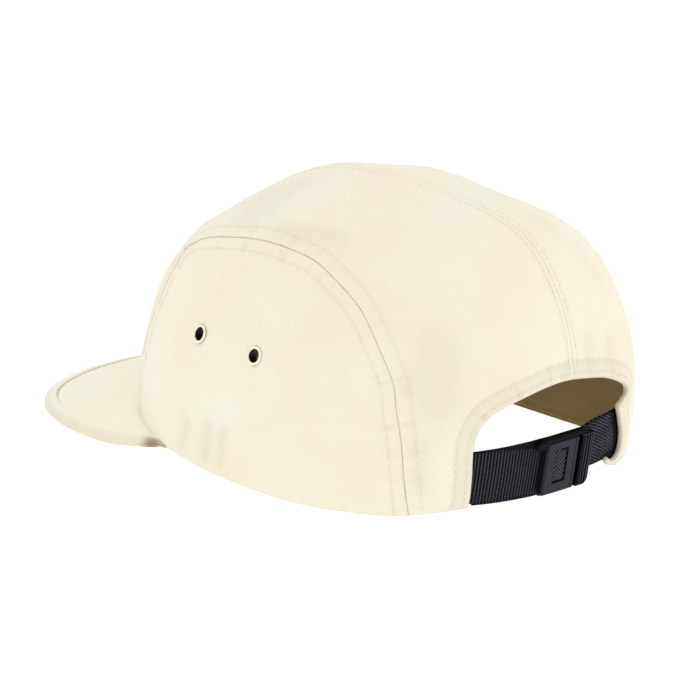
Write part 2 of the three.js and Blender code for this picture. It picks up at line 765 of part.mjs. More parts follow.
// The frame: a top rail that ends in a round hook, a thin sill and edge, and the bar on the right
function buckleFrameGeometry() {
  const w = BUCKLE_WIDTH / 2;
  const h = BUCKLE_HEIGHT / 2;
  const corner = BUCKLE_CORNER;
  const rail = BUCKLE_RAIL / 2;
  const shape = new THREE.Shape();
  shape.moveTo(-w, -h);
  shape.lineTo(w - corner, -h);
  shape.absarc(w - corner, -h + corner, corner, -Math.PI / 2, 0, false);
  shape.lineTo(w, h);
  shape.lineTo(-w - HOOK_REACH + rail, h);
  shape.absarc(-w - HOOK_REACH + rail, h - rail, rail, Math.PI / 2, (3 * Math.PI) / 2, false);
  shape.lineTo(-w, h - BUCKLE_RAIL);
  const { left, right, bottom, top } = WINDOW;
  shape.holes.push(roundedRectangle(left, right, bottom, top, LEVER_CORNER, THREE.Path));
  return new THREE.ExtrudeGeometry(shape, {
    depth: BUCKLE_THICKNESS,
    bevelEnabled: false,
    curveSegments: 3,
  });
}

// The lever lies in the frame's window, against its left end, and has a sunk grip field
function buckleLeverGeometry() {
  const left = WINDOW.left + GAP;
  const right = left + LEVER_WIDTH;
  const bottom = WINDOW.bottom + GAP;
  const top = WINDOW.top - GAP;
  const outline = roundedRectangle(left, right, bottom, top, LEVER_CORNER);
  const options = { depth: LEVER_THICKNESS, bevelEnabled: false, curveSegments: 2 };
  const plate = solidFrom(new THREE.ExtrudeGeometry(outline, options));
  const grip = {
    left: left + GRIP_LEFT,
    right: right - GRIP_RIGHT,
    bottom: bottom + GRIP_BELOW,
    top: top - GRIP_ABOVE,
  };
  const field = new THREE.BoxGeometry(grip.right - grip.left, grip.top - grip.bottom, 2 * GRIP_DEPTH);
  field.translate((grip.left + grip.right) / 2, (grip.bottom + grip.top) / 2, LEVER_THICKNESS);
  return geometryOf(plate.subtract(solidFrom(field)));
}

function piece(name, geometry, finish) {
  const mesh = new THREE.Mesh(geometry, new THREE.MeshStandardMaterial(finish));
  mesh.name = name;
  return mesh;
}

function buildCap() {
  const cap = new THREE.Group();
  for (const [name, solid] of Object.entries(crownPanels())) {
    cap.add(piece(name, geometryOf(solid), FABRIC));
  }
  cap.add(piece("peak", peakGeometry(), PEAK_FABRIC));
  cap.add(piece("sweatband", sweatbandGeometry(), LINING));
  const partingX = STRAP_SPLIT - STRAP_PARTING;
  cap.add(piece("strap_left", strapGeometry(STRAP_END, STRAP_SPLIT, STRAP_LEFT), WEBBING));
  cap.add(piece("strap_right", strapGeometry(partingX, -STRAP_END, STRAP_RIGHT), WEBBING));

  const buckle = new THREE.Group();
  buckle.applyMatrix4(buckleFrame());
  buckle.add(piece("buckle_frame", buckleFrameGeometry(), PLASTIC));
  buckle.add(piece("buckle_lever", buckleLeverGeometry(), PLASTIC));
  cap.add(buckle);

  for (const { name, frame } of eyeletPlaces()) {
    const eyelet = piece(name, eyeletGeometry(), ENAMEL);
    eyelet.applyMatrix4(frame);
    cap.add(eyelet);
  }
  const box = new THREE.Box3().setFromObject(cap, true);
  cap.position.y = -(box.min.y + box.max.y) / 2;
  return cap;
}

export default buildCap();
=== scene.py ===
# A five panel cap, dressed round its frame of solids.
# The crown is worked out in millimetres round the middle of its rim, +Z up, with the peak to -Y and
# the wearer's left at +X. Meshes are moved by SHIFT and turned into metres as they are made.
import math

import bpy
import numpy as np
from mathutils import Matrix, Vector, geometry


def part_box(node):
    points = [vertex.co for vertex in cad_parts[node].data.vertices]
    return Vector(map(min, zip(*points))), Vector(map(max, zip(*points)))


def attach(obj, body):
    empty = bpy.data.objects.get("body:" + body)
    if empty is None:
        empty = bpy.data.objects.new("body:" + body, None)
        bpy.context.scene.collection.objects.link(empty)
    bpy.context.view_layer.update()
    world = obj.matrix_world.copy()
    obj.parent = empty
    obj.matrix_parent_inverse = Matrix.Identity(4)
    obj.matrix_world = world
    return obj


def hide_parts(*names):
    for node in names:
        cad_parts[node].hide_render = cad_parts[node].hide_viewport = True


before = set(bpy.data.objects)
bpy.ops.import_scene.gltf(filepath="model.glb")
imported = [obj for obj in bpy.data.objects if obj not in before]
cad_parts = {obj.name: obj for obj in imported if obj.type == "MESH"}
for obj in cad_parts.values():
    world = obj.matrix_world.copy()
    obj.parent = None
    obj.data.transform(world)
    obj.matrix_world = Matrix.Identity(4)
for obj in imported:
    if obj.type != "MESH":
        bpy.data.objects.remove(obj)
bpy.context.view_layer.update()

MM = 0.001
UV_PER_MM = 0.01

# Crown: the same sizes as the solids
RIM_HALF_WIDTH = 78.5
RIM_FRONT = 106.0
RIM_BACK = 84.0
RIM_SQUARENESS = 2.5
CROWN_HEIGHT = 109.5
TOP_SHIFT_BACK = 14.0
TOP_FALL = 10.6
WALL_BULGE = 2.2
CLOTH = 2.2
RIM_LIFT_FRONT = 12.5
RIM_LIFT_BACK = 3.0
FLAT_FROM = 20.0
FLAT_TO = 54.0
GAP = 0.3
UNDER_CLOTH = CLOTH + GAP
SECTIONS = {"front": (2.1, 2.85), "side": (2.5, 2.0), "back": (4.3, 2.1)}
SIDE_SEAM = [
    (-0.66, 0.7), (-0.57, 0.753), (-0.415, 0.792), (-0.21, 0.814), (0.0, 0.8), (0.18, 0.762),
    (0.44, 0.665), (0.64, 0.497), (0.7, 0.363), (0.73, 0.234), (0.735, 0.0),
]
SIDE_SEAM_FOOT = (-0.85, 0.0)
FRONT_SEAM_SLOPE = 0.5
ARCH_HALF_WIDTH = 45.0
ARCH_HEIGHT = 45.6
ARCH_EDGE = [
    (1.03, 0.0), (0.975, 0.08), (0.985, 0.3), (1.0, 0.56), (0.96, 0.725), (0.86, 0.835),
    (0.66, 0.915), (0.35, 0.985), (0.05, 1.0), (-0.34, 0.945), (-0.53, 0.893), (-0.67, 0.837),
    (-0.78, 0.785), (-0.84, 0.74), (-0.84, 0.7), (-0.76, 0.67), (-0.665, 0.63), (-0.7, 0.55),
    (-0.75, 0.46), (-0.81, 0.355), (-0.845, 0.25), (-0.835, 0.17), (-0.76, 0.135), (-0.67, 0.145),
    (-0.605, 0.185), (-0.57, 0.165), (-0.61, 0.12), (-0.7, 0.09), (-0.8, 0.06), (-0.82, 0.0),
]

# Folds and dents: turn and rise at both ends, then width and depth as shares of the height
FOLDS = [
    (-44, 0.613, -44, 0.62, 0.1, -0.013),
    (-60, 0.677, -58, 0.69, 0.08, -0.011),
    (-21, 0.641, -1, 0.693, 0.05, -0.011),
    (-22, 0.68, -2, 0.74, 0.05, 0.008),
    (127, 0.782, 117, 0.655, 0.045, 0.009),
    (117, 0.655, 122, 0.515, 0.045, 0.009),
    (110, 0.7, 112, 0.52, 0.06, -0.008),
    (47.8, 0.382, 40, 0.328, 0.045, -0.012),
    (46.6, 0.404, 47.6, 0.285, 0.08, -0.01),
    (43.8, 0.178, 45, 0.084, 0.04, -0.008),
    (-19.5, 0.02, -17.9, 0.099, 0.04, -0.009),
    (-11.7, 0.02, -11.5, 0.114, 0.04, -0.01),
    (-7.5, 0.02, -7.2, 0.121, 0.035, -0.008),
    (-62.5, 0.36, -67.5, 0.437, 0.12, 0.008),
    (-72, 0.51, -76, 0.56, 0.08, -0.012),
    (-98, 0.67, -98, 0.7, 0.12, 0.012),
    (205, 0.79, 195, 0.8, 0.1, 0.008),
    (147, 0.74, 149, 0.78, 0.08, -0.008),
    (130, 0.53, 131, 0.58, 0.1, 0.008),
    (95, 0.37, 94, 0.31, 0.035, -0.008),
    (104, 0.35, 103, 0.29, 0.035, -0.008),
    (196, 0.62, 182, 0.67, 0.05, -0.01),
    (190, 0.02, 189, 0.11, 0.04, -0.009),
]
FOLD_FADE = 0.06

# Eyelets of the left side: turn and rise
EYELETS = {"front": (-20.8, 0.311), "rear": (-4.2, 0.332)}
EYELET_BORE = 5.2
EYELET_FLANGE = 7.4
EYELET_BARREL = 6.2
EYELET_PROUD = 0.6
BARREL_END = 2.2

# Peak
PEAK_DEPTH = 54.0
PEAK_HALF_WIDTH = 72.3
PEAK_THICKNESS = 2.4
PEAK_ARCH = 4.0
PEAK_SWELL = 1.5
PEAK_SEAT = 0.6
PEAK_SQUARENESS = 2.8
PEAK_FULLNESS = 3.1
PEAK_ROW = 5.3
PEAK_ROW_WIDENS = 1.4

# Sweatband, strap and buckle
SWEATBAND_HEIGHT = 27.0
SWEATBAND_THICKNESS = 1.2
SWEATBAND_INSET = 0.8
STRAP_THICKNESS = 1.4
STRAP_TUCK = 8.0
STRAP_END = ARCH_HALF_WIDTH + STRAP_TUCK
STRAP_PARTING = 1.0
# The top edge dips by the buckle, and the bottom edge sags, more so by the tab
STRAP_LEFT = {"bottom": 1.8, "height": 22.8, "dip": 0.0, "sag": 0.0, "tab_sag": 0.0}
STRAP_RIGHT = {"bottom": 7.0, "height": 19.4, "dip": 2.2, "sag": 0.7, "tab_sag": 1.8}
STRAP_DIP_WIDTH = 7.0
TAB_SAG_FROM = -27.5
TAB_SAG_WIDTH = 5.0
STRAP_NARROWING = 1.5
NARROWING_FROM = 15.0
NARROWING_WIDTH = 30.0
BUCKLE_WIDTH = 26.0
BUCKLE_HEIGHT = 23.4
BUCKLE_THICKNESS = 2.6
BUCKLE_OFFSET = 1.15
BUCKLE_RISE = 0.7
BUCKLE_CORNER = 3.0
BUCKLE_RAIL = 2.2
BUCKLE_SILL = 0.8
BUCKLE_EDGE = 0.8
BUCKLE_BAR = 6.4
BAR_CAP = 0.2
BAR_RIB = 1.5
HOOK_REACH = 3.0
RAIL_TAIL = 5.2
KNOB_HALF_WIDTH = 2.9
KNOB_HALF_HEIGHT = 1.7
KNOB_DROP = 1.1
LEVER_WIDTH = 16.7
LEVER_THICKNESS = 2.3
GRIP_LEFT = 3.9
GRIP_RIGHT = 5.4
GRIP_BELOW = 3.0
GRIP_ABOVE = 2.8
GRIP_DEPTH = 0.7
HATCH_PITCH = 1.45
PART_LINE = 1.65

# The part stands with the middle of its box over the origin, so the peak's tip gives the shift
SHIFT = np.array([0.0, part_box("peak")[0].y / MM + RIM_FRONT + PEAK_DEPTH, 0.0])

# Camera, solved from the outline: it looks down a little, and AIM falls on pixel AIM_PIXEL
PHOTO_SIZE = 680
CAMERA_AZIMUTH = 133.4
CAMERA_ELEVATION = 14.8
CAMERA_DISTANCE = 1800.0
CAMERA_FOCAL_PIXELS = 4700.0
SENSOR_WIDTH = 36.0
AIM = np.array([0.0, 0.0, 50.0])
AIM_PIXEL = (399.0, 326.5)

rng = np.random.default_rng(5)


def smooth(share):
    s = np.clip(share, 0.0, 1.0)
    return s * s * (3.0 - 2.0 * s)


def signed_power(value, power):
    return np.sign(value) * np.abs(value) ** power


def unit(vectors):
    return vectors / np.maximum(np.linalg.norm(vectors, axis=-1, keepdims=True), 1e-12)


def bell(distance, width):
    """1 at no distance, and falling off on both sides over about a width."""
    return np.exp(-((distance / width) ** 2))


def bisected(low, high, steps, short_of):
    """Places between low and high up to which short_of holds."""
    for _ in range(steps):
        middle = (low + high) / 2
        under = short_of(middle)
        low = np.where(under, middle, low)
        high = np.where(under, high, middle)
    return (low + high) / 2


# The crown's form

def rim_height(y):
    ahead = np.maximum(0.0, (FLAT_FROM - y) / (FLAT_FROM + RIM_FRONT))
    behind = (y - FLAT_TO) / (RIM_BACK - FLAT_TO)
    return RIM_LIFT_FRONT * ahead**1.4 + RIM_LIFT_BACK * smooth(behind)


def crown(turn, climb):
    """Outer surface without folds. turn is in degrees round the rim, climb 0 at the rim, 1 on top."""
    turn, climb = np.broadcast_arrays(turn, climb)
    cos = np.cos(np.radians(turn))
    sin = np.sin(np.radians(turn))
    reach = np.where(sin > 0, RIM_BACK, RIM_FRONT)
    x = RIM_HALF_WIDTH * signed_power(cos, 2 / RIM_SQUARENESS)
    y = reach * signed_power(sin, 2 / RIM_SQUARENESS)
    end_taper = np.where(sin > 0, SECTIONS["back"][0], SECTIONS["front"][0])
    end_fullness = np.where(sin > 0, SECTIONS["back"][1], SECTIONS["front"][1])
    taper = SECTIONS["side"][0] + (end_taper - SECTIONS["side"][0]) * sin * sin
    fullness = SECTIONS["side"][1] + (end_fullness - SECTIONS["side"][1]) * sin * sin
    angle = climb * np.pi / 2
    inward = np.maximum(np.cos(angle), 0.0) ** (2 / taper)
    upward = np.sin(angle) ** (2 / fullness)
    bulge = WALL_BULGE * np.sin(np.pi * np.minimum(upward / 0.8, 1.0))
    spread = inward * (1 + bulge / RIM_HALF_WIDTH)
    py = y * spread + TOP_SHIFT_BACK * upward
    top = CROWN_HEIGHT - TOP_FALL * py / RIM_BACK
    return np.stack([x * spread, py, top * upward + rim_height(y) * (1 - upward)], -1)


def run_along(points):
    steps = np.linalg.norm(np.diff(points, axis=-2), axis=-1)
    start = np.zeros(steps.shape[:-1] + (1,))
    return np.concatenate([start, np.cumsum(steps, axis=-1)], axis=-1)


# Tables that turn equal lengths of cloth into turns and climbs
_share = np.linspace(0.0, 1.0, 321)
CLIMBS = _share**3 / (_share**3 + (1 - _share) ** 3)
TABLE_TURNS = np.linspace(-90.0, 90.0, 361)
TABLE_RISES = run_along(crown(TABLE_TURNS[:, None], CLIMBS[None, :]))
TABLE_RISES = TABLE_RISES / TABLE_RISES[:, -1:]
RISE_STEPS = np.linspace(0.0, 1.0, 401)
TABLE_CLIMBS = np.array([np.interp(RISE_STEPS, rises, CLIMBS) for rises in TABLE_RISES])
_rim_run = run_along(crown(TABLE_TURNS, 0.0))
_rim_run = _rim_run - _rim_run[180]
TABLE_ANGLES = 90 * np.where(_rim_run < 0, _rim_run / -_rim_run[0], _rim_run / _rim_run[-1])


def folded_back(turn):
    """The same place on the left half, and whether it was on the right one."""
    turn = (np.asarray(turn, float) + 180) % 360 - 180
    right = np.abs(turn) > 90
    return np.where(right, np.where(turn > 0, 180.0, -180.0) - turn, turn), right


def climb_at_rise(turn, rise):
    left, _ = folded_back(turn)
    column = np.clip((left + 90) / 0.5, 0, 359.999)
    row = np.clip(np.asarray(rise, float), 0, 1) * 400
    row = np.minimum(row, 399.999)
    i, j = column.astype(int), row.astype(int)
    a, b = column - i, row - j
    low = TABLE_CLIMBS[i, j] * (1 - b) + TABLE_CLIMBS[i, j + 1] * b
    high = TABLE_CLIMBS[i + 1, j] * (1 - b) + TABLE_CLIMBS[i + 1, j + 1] * b
    return low * (1 - a) + high * a


def rise_at_climb(turn, climb):
    rises = run_along(crown(np.asarray(turn, float)[:, None], CLIMBS[None, :]))
    rises = rises / rises[:, -1:]
    return np.array([np.interp(c, CLIMBS, r) for c, r in zip(climb, rises)])


def turn_at_angle(angle):
    left, right = folded_back(angle)
    turn = np.interp(left, TABLE_ANGLES, TABLE_TURNS)
    return np.where(right, np.where(np.asarray(angle) > 0, 180.0, -180.0) - turn, turn)


def angle_at_turn(turn):
    left, right = folded_back(turn)
    angle = np.interp(left, TABLE_TURNS, TABLE_ANGLES)
    wrapped = (np.asarray(turn, float) + 180) % 360 - 180
    return np.where(right, np.where(wrapped > 0, 180.0, -180.0) - angle, angle)


# A flat chart of the crown, seen from above: the top is its middle and the rim a circle round it
CHART = 102.0


def chart_to_surface(uv):
    radius = np.hypot(uv[:, 0], uv[:, 1])
    angle = np.degrees(np.arctan2(uv[:, 1], uv[:, 0]))
    rise = 1 - 2 * np.arctan(radius / (2 * CHART)) / (np.pi / 2)
    turn = turn_at_angle(angle)
    return turn, climb_at_rise(turn, rise)


def surface_to_chart(turn, climb):
    rise = rise_at_climb(turn, climb)
    radius = 2 * CHART * np.tan((1 - rise) * np.pi / 4)
    angle = np.radians(angle_at_turn(turn))
    return np.stack([radius * np.cos(angle), radius * np.sin(angle)], -1)


def base_points(uv):
    return crown(*chart_to_surface(uv))


def base_slopes(uv, step=0.4):
    across = np.array([step, 0.0])
    along = np.array([0.0, step])
    du = (base_points(uv + across) - base_points(uv - across)) / (2 * step)
    dv = (base_points(uv + along) - base_points(uv - along)) / (2 * step)
    return du, dv


def base_normals(uv):
    normals = unit(np.cross(*base_slopes(uv)))
    near_rim = smooth(1 - (2 * CHART - np.hypot(uv[:, 0], uv[:, 1])) / 6)
    normals[:, 2] *= 1 - near_rim
    return unit(normals)


def nearest_on(points, line):
    """Distance from each point to a line of points, and how far along the line it is."""
    start, step = line[:-1], np.diff(line, axis=0)
    squared = np.maximum((step**2).sum(-1), 1e-12)
    runs = run_along(line)
    distance = np.empty(len(points))
    along = np.empty(len(points))
    for first in range(0, len(points), 2500):
        some = points[first : first + 2500]
        offset = some[:, None, :] - start[None, :, :]
        share = np.clip((offset * step).sum(-1) / squared, 0, 1)
        gap = ((offset - share[..., None] * step) ** 2).sum(-1)
        best = gap.argmin(1)
        rows = np.arange(len(some))
        distance[first : first + 2500] = np.sqrt(gap[rows, best])
        along[first : first + 2500] = runs[best] + share[rows, best] * np.sqrt(squared[best])
    return distance, along


# Relief of the cloth over that form

FOLD_LINES = []
for _turn1, _rise1, _turn2, _rise2, _width, _depth in FOLDS:
    _ends = crown(
        np.array([_turn1, _turn2], float),
        climb_at_rise(np.array([_turn1, _turn2], float), np.array([_rise1, _rise2])),
    )
    FOLD_LINES.append((_ends, _width * CROWN_HEIGHT, _depth * CROWN_HEIGHT))

# Short gathers over the rim of the left side panel, along three of its folds
GATHERS = FOLD_LINES[10:13]
GATHER_WIDTH = 1.9
GATHER_DEPTH = 0.17


def gathers(points):
    relief = np.zeros(len(points))
    for line, _, _ in GATHERS:
        distance, _ = nearest_on(points, line)
        relief += bell(distance, GATHER_WIDTH)
    return relief


def fold_relief(points):
    relief = np.zeros(len(points))
    for line, width, depth in FOLD_LINES:
        distance, _ = nearest_on(points, line)
        relief += depth * bell(distance, width)
    above = points[:, 2] - rim_height(points[:, 1])
    return relief * smooth(above / (FOLD_FADE * CROWN_HEIGHT))


def random_waves(lengths, each):
    """Directions and phases of plane waves of the given lengths."""
    waves = []
    for length in lengths:
        for _ in range(each):
            direction = unit(rng.normal(size=3))
            waves.append((direction * 2 * np.pi / length, rng.uniform(0, 2 * np.pi)))
    return waves


def waves_at(points, waves):
    total = np.zeros(len(points))
    for direction, phase in waves:
        total += np.sin(points @ direction + phase)
    return total / math.sqrt(len(waves))


SLACK = random_waves([26, 34, 45, 60], 4)
CRUMPLE = random_waves([9, 12, 16], 5)
SLACK_DEPTH = 0.22
CRUMPLE_DEPTH = 0.05


def ripples(run, lengths, seed):
    """A smooth random line along a seam, about -1 to 1."""
    phases = np.random.default_rng(seed).uniform(0, 2 * np.pi, len(lengths))
    total = np.zeros_like(run)
    for length, phase in zip(lengths, phases):
        total += np.sin(2 * np.pi * run / length + phase)
    return total / math.sqrt(len(lengths))


# Lines on the crown, each as points of the chart

def through(points, steps):
    """A smooth line through points, with the same number of steps between each two."""
    points = np.array(points, float)
    out = []
    last = len(points) - 1
    for i in range(last):
        p0, p1 = points[max(i - 1, 0)], points[i]
        p2, p3 = points[i + 1], points[min(i + 2, last)]
        v0, v1 = (p2 - p0) / 2, (p3 - p1) / 2
        cubic = 2 * p1 - 2 * p2 + v0 + v1
        square = 3 * (p2 - p1) - 2 * v0 - v1
        for k in range(steps):
            t = k / steps
            out.append(cubic * t**3 + square * t**2 + v0 * t + p1)
    out.append(points[last])
    return np.array(out)


def climb_at_height(turn, height):
    low, high = np.zeros(np.shape(turn)), np.full(np.shape(turn), 0.95)
    return bisected(low, high, 36, lambda climb: crown(turn, climb)[..., 2] < height)


def turn_where(height, value, axis, low, high):
    """Turn between low and high at which the wall at a height reaches a value on an axis."""

    def short_of(turn):
        found = crown(turn, climb_at_height(turn, height))[:, axis]
        return found < value if axis == 1 else found > value

    ends = [np.full(len(height), float(end)) for end in (low, high)]
    return bisected(*ends, 36, short_of)


def chart_from_side(places):
    """Chart points of places given as Y and Z on the left side."""
    y, z = np.array(places).T
    z = np.maximum(z, rim_height(y))
    turn = turn_where(z, y, 1, -90, 90)
    return surface_to_chart(turn, climb_at_height(turn, z))


def chart_from_back(places):
    """Chart points of places given as X and Z on the back."""
    x, z = np.array(places).T
    turn = turn_where(z, x, 0, 0, 180)
    return surface_to_chart(turn, climb_at_height(turn, z))


def resampled(uv, spacing):
    """A chart line cut anew into equal lengths of cloth."""
    runs = run_along(base_points(uv))
    count = max(2, int(round(runs[-1] / spacing)) + 1)
    at = np.linspace(0, runs[-1], count)
    return np.stack([np.interp(at, runs, uv[:, 0]), np.interp(at, runs, uv[:, 1])], -1)


def beside(uv, distance):
    """A chart line moved to its left over the cloth, by a distance in millimetres."""
    points = base_points(uv)
    ahead = np.gradient(points, axis=0)
    du, dv = base_slopes(uv)
    side = unit(np.cross(unit(np.cross(du, dv)), unit(ahead))) * distance
    a, b, c = (du * du).sum(-1), (du * dv).sum(-1), (dv * dv).sum(-1)
    p, q = (side * du).sum(-1), (side * dv).sum(-1)
    scale = a * c - b * b
    return uv + np.stack([(p * c - q * b) / scale, (q * a - p * b) / scale], -1)


def on_side(row):
    along, up = row
    return (along * (RIM_FRONT if along < 0 else RIM_BACK), up * CROWN_HEIGHT)


def mirrored(uv):
    return uv * np.array([-1.0, 1.0])


def rim_line(turn1, turn2):
    """Chart points of the rim from one turn on to another, counterclockwise."""
    first = float(angle_at_turn(turn1))
    sweep = (float(angle_at_turn(turn2)) - first) % 360
    angles = np.radians(first + np.linspace(0, sweep, 160))
    return 2 * CHART * np.stack([np.cos(angles), np.sin(angles)], -1)


def rim_point(turn):
    return rim_line(turn, turn)[0]


def rim_turn(uv):
    return float(turn_at_angle(math.degrees(math.atan2(uv[1], uv[0]))))


EDGE_STEP = 1.2

_corner = on_side(SIDE_SEAM[0])
side_seam = resampled(chart_from_side(through([on_side(r) for r in SIDE_SEAM], 16)), EDGE_STEP)
front_edge = resampled(
    chart_from_side(np.linspace(_corner, on_side(SIDE_SEAM_FOOT), 60)), EDGE_STEP
)


def front_seam_line():
    """The front panel's top seam: where a plane that rises forward meets the crown."""
    start = rim_turn(side_seam[0])
    turns = np.linspace(start, -180 - start, 121)
    plane = _corner[1] + FRONT_SEAM_SLOPE * _corner[0]

    def under_plane(climb):
        found = crown(turns, climb)
        return found[:, 2] + FRONT_SEAM_SLOPE * found[:, 1] < plane

    climb = bisected(np.zeros(len(turns)), np.ones(len(turns)), 40, under_plane)
    line = surface_to_chart(turns, climb)
    line[0] = side_seam[0]
    line[-1] = mirrored(side_seam[0])
    return resampled(line, EDGE_STEP)


def arch_line():
    edge = through([(s * ARCH_HALF_WIDTH, u * ARCH_HEIGHT) for s, u in ARCH_EDGE], 14)
    x, z = edge.T
    turn = turn_where(z, x, 0, 0, 180)
    floor = crown(turn, 0.0)[:, 2]
    edge = edge[z > floor + 0.2]
    uv = chart_from_back(edge)
    feet = [2 * CHART * unit(uv[0]), 2 * CHART * unit(uv[-1])]
    return resampled(np.vstack([feet[:1], uv, feet[1:]]), EDGE_STEP)


front_seam = front_seam_line()
arch = arch_line()
_front_middle = int(np.abs(front_seam[:, 0]).argmin())
_arch_middle = int(np.abs(arch[:, 0]).argmin())
front_seam[_front_middle, 0] = 0.0
arch[_arch_middle, 0] = 0.0
middle_seam = resampled(
    np.linspace(front_seam[_front_middle], arch[_arch_middle], 200), EDGE_STEP
)
front_foot, back_foot = rim_turn(front_edge[-1]), rim_turn(side_seam[-1])
front_edge[-1] = rim_point(front_foot)
side_seam[-1] = rim_point(back_foot)
arch_foot_left, arch_foot_right = rim_turn(arch[0]), rim_turn(arch[-1])

SIDE_LINES = {
    "left": (side_seam, front_edge),
    "right": (mirrored(side_seam), mirrored(front_edge)),
}

# Each panel is a loop of edges, run counterclockwise on the chart
# A seam is tucked in and a hem is round
SEAM, HEM = "seam", "hem"


def edge(kind, line, reverse=False):
    return kind, line[::-1] if reverse else line


def rim_edge(turn1, turn2):
    return HEM, resampled(rim_line(turn1, turn2), EDGE_STEP)


PANELS = {
    "side_panel_left": [
        rim_edge(front_foot, back_foot),
        edge(SEAM, side_seam, True),
        edge(SEAM, front_edge),
    ],
    "side_panel_right": [
        rim_edge(180 - back_foot, 180 - front_foot),
        edge(SEAM, mirrored(front_edge), True),
        edge(SEAM, mirrored(side_seam)),
    ],
    "front_panel": [
        rim_edge(-180 - front_foot, front_foot),
        edge(SEAM, front_edge, True),
        edge(SEAM, front_seam),
        edge(SEAM, mirrored(front_edge)),
    ],
    "back_panel_left": [
        edge(SEAM, middle_seam, True),
        edge(SEAM, front_seam[: _front_middle + 1], True),
        edge(SEAM, side_seam),
        rim_edge(back_foot, arch_foot_left),
        edge(HEM, arch[: _arch_middle + 1]),
    ],
    "back_panel_right": [
        edge(SEAM, middle_seam),
        edge(HEM, arch[_arch_middle:]),
        rim_edge(arch_foot_right, 180 - back_foot),
        edge(SEAM, mirrored(side_seam), True),
        edge(SEAM, front_seam[_front_middle:], True),
    ],
}

# Rows of topstitching: how far they lie from their own seam, and how far they end from others
ROW_INSIDE = 5.2
ROW_OUTSIDE = 5.5
ARCH_ROWS = (2.5, 6.8)
MIDDLE_ROW = 3.2
SIDE_ROWS_CLEAR = 4.5
FRONT_SEAM_CLEAR = 3.6
ARCH_CLEAR = 4.0


def clear_of(uv, *others):
    """The points of a chart line that keep the distance given with each of the other lines."""
    for line, distance in others:
        uv = uv[nearest_on(base_points(uv), base_points(line))[0] >= distance]
    return uv


def stitch_rows():
    """Rows of each panel, each with how pale the painted shade in its needle holes is at least, 0 to
    1.
    """
    rows = {name: [] for name in PANELS}
    by_front, by_arch = (front_seam, FRONT_SEAM_CLEAR), (arch, ARCH_CLEAR)
    for name, (seam, ahead) in SIDE_LINES.items():
        sign = 1 if name == "left" else -1
        side, back = rows[f"side_panel_{name}"], rows[f"back_panel_{name}"]
        inner = clear_of(beside(seam, -sign * ROW_INSIDE), (ahead, SIDE_ROWS_CLEAR))
        side.append((inner, 0.35))
        inner = clear_of(beside(ahead, sign * ROW_INSIDE), (seam, SIDE_ROWS_CLEAR))
        side.append((inner, 0.5))
        back.append((clear_of(beside(seam, sign * ROW_OUTSIDE), by_front, by_arch), 0.75))
        outer = clear_of(beside(ahead, -sign * ROW_OUTSIDE), by_front)
        rows["front_panel"].append((outer, 0.6))
        column = beside(middle_seam, sign * MIDDLE_ROW)
        back.append((clear_of(column, by_front, (arch, ARCH_ROWS[0])), 0.8))
    rows["front_panel"].append((beside(front_seam, -ROW_OUTSIDE)[4:-4], 0.5))
    for distance in ARCH_ROWS:
        around = beside(arch, distance)
        around = around[np.hypot(around[:, 0], around[:, 1]) < 2 * CHART - 2]
        around = clear_of(around, (arch, distance - 0.25))
        middle = int(np.abs(around[:, 0]).argmin())
        rows["back_panel_left"].append((around[: middle + 1], 0.0))
        rows["back_panel_right"].append((around[middle:], 0.0))
    above = beside(front_seam, ROW_OUTSIDE)
    middle = int(np.abs(above[:, 0]).argmin())
    rows["back_panel_left"].append((above[4 : middle - 2], 0.9))
    rows["back_panel_right"].append((above[middle + 3 : -4], 0.9))
    return rows


STITCH_ROWS = stitch_rows()

# Depths of the tucks, grooves and puckers
SEAM_ROUND = 0.42
HEM_ROUND = 1.0
HEM_TURNED_IN = 8.0
GROOVE_DEPTH = 0.22
GROOVE_WIDTH = 0.55
PUFF = 0.25
PUCKER = 0.3
OVERLAP = 0.3
HEM_SHADE = 0.3


def rounded_off(distance, radius):
    inside = np.clip(1 - distance / radius, 0, 1)
    return radius * (1 - np.sqrt(np.maximum(1 - inside**2, 0)))


def seam_relief(points, line, row, seed, lift=0.0, pucker=PUCKER, dark=0.0, sunk=1.0):
    """Height and shade by a seam: the puff up to its stitches, their groove, and puckers across."""
    distance, run = nearest_on(points, base_points(line))
    puff = PUFF * np.sin(np.pi * np.clip(distance / row, 0, 1))
    groove = sunk * bell(distance - row, GROOVE_WIDTH)
    across = ripples(run, (4.6, 6.3, 9.1, 13.7), seed) * ripples(run, (31.0, 47.0), seed + 1)
    across = np.clip(across, -1.2, 1.2) * bell(distance / row - 0.65, 0.55)
    step = lift * np.exp(-distance / 4)
    height = puff - GROOVE_DEPTH * groove + pucker * across + step
    # Painted shade: a broken dark line along the seam, a little in the stitches' groove, and in the
    # puckers' hollows
    broken = 0.7 + 0.3 * ripples(run, (7.3, 11.9, 17.7), seed + 2)
    shade = dark * broken * bell(distance, 0.28) + 0.05 * groove
    return np.stack([height, shade + 0.25 * pucker * np.maximum(-across, 0)])


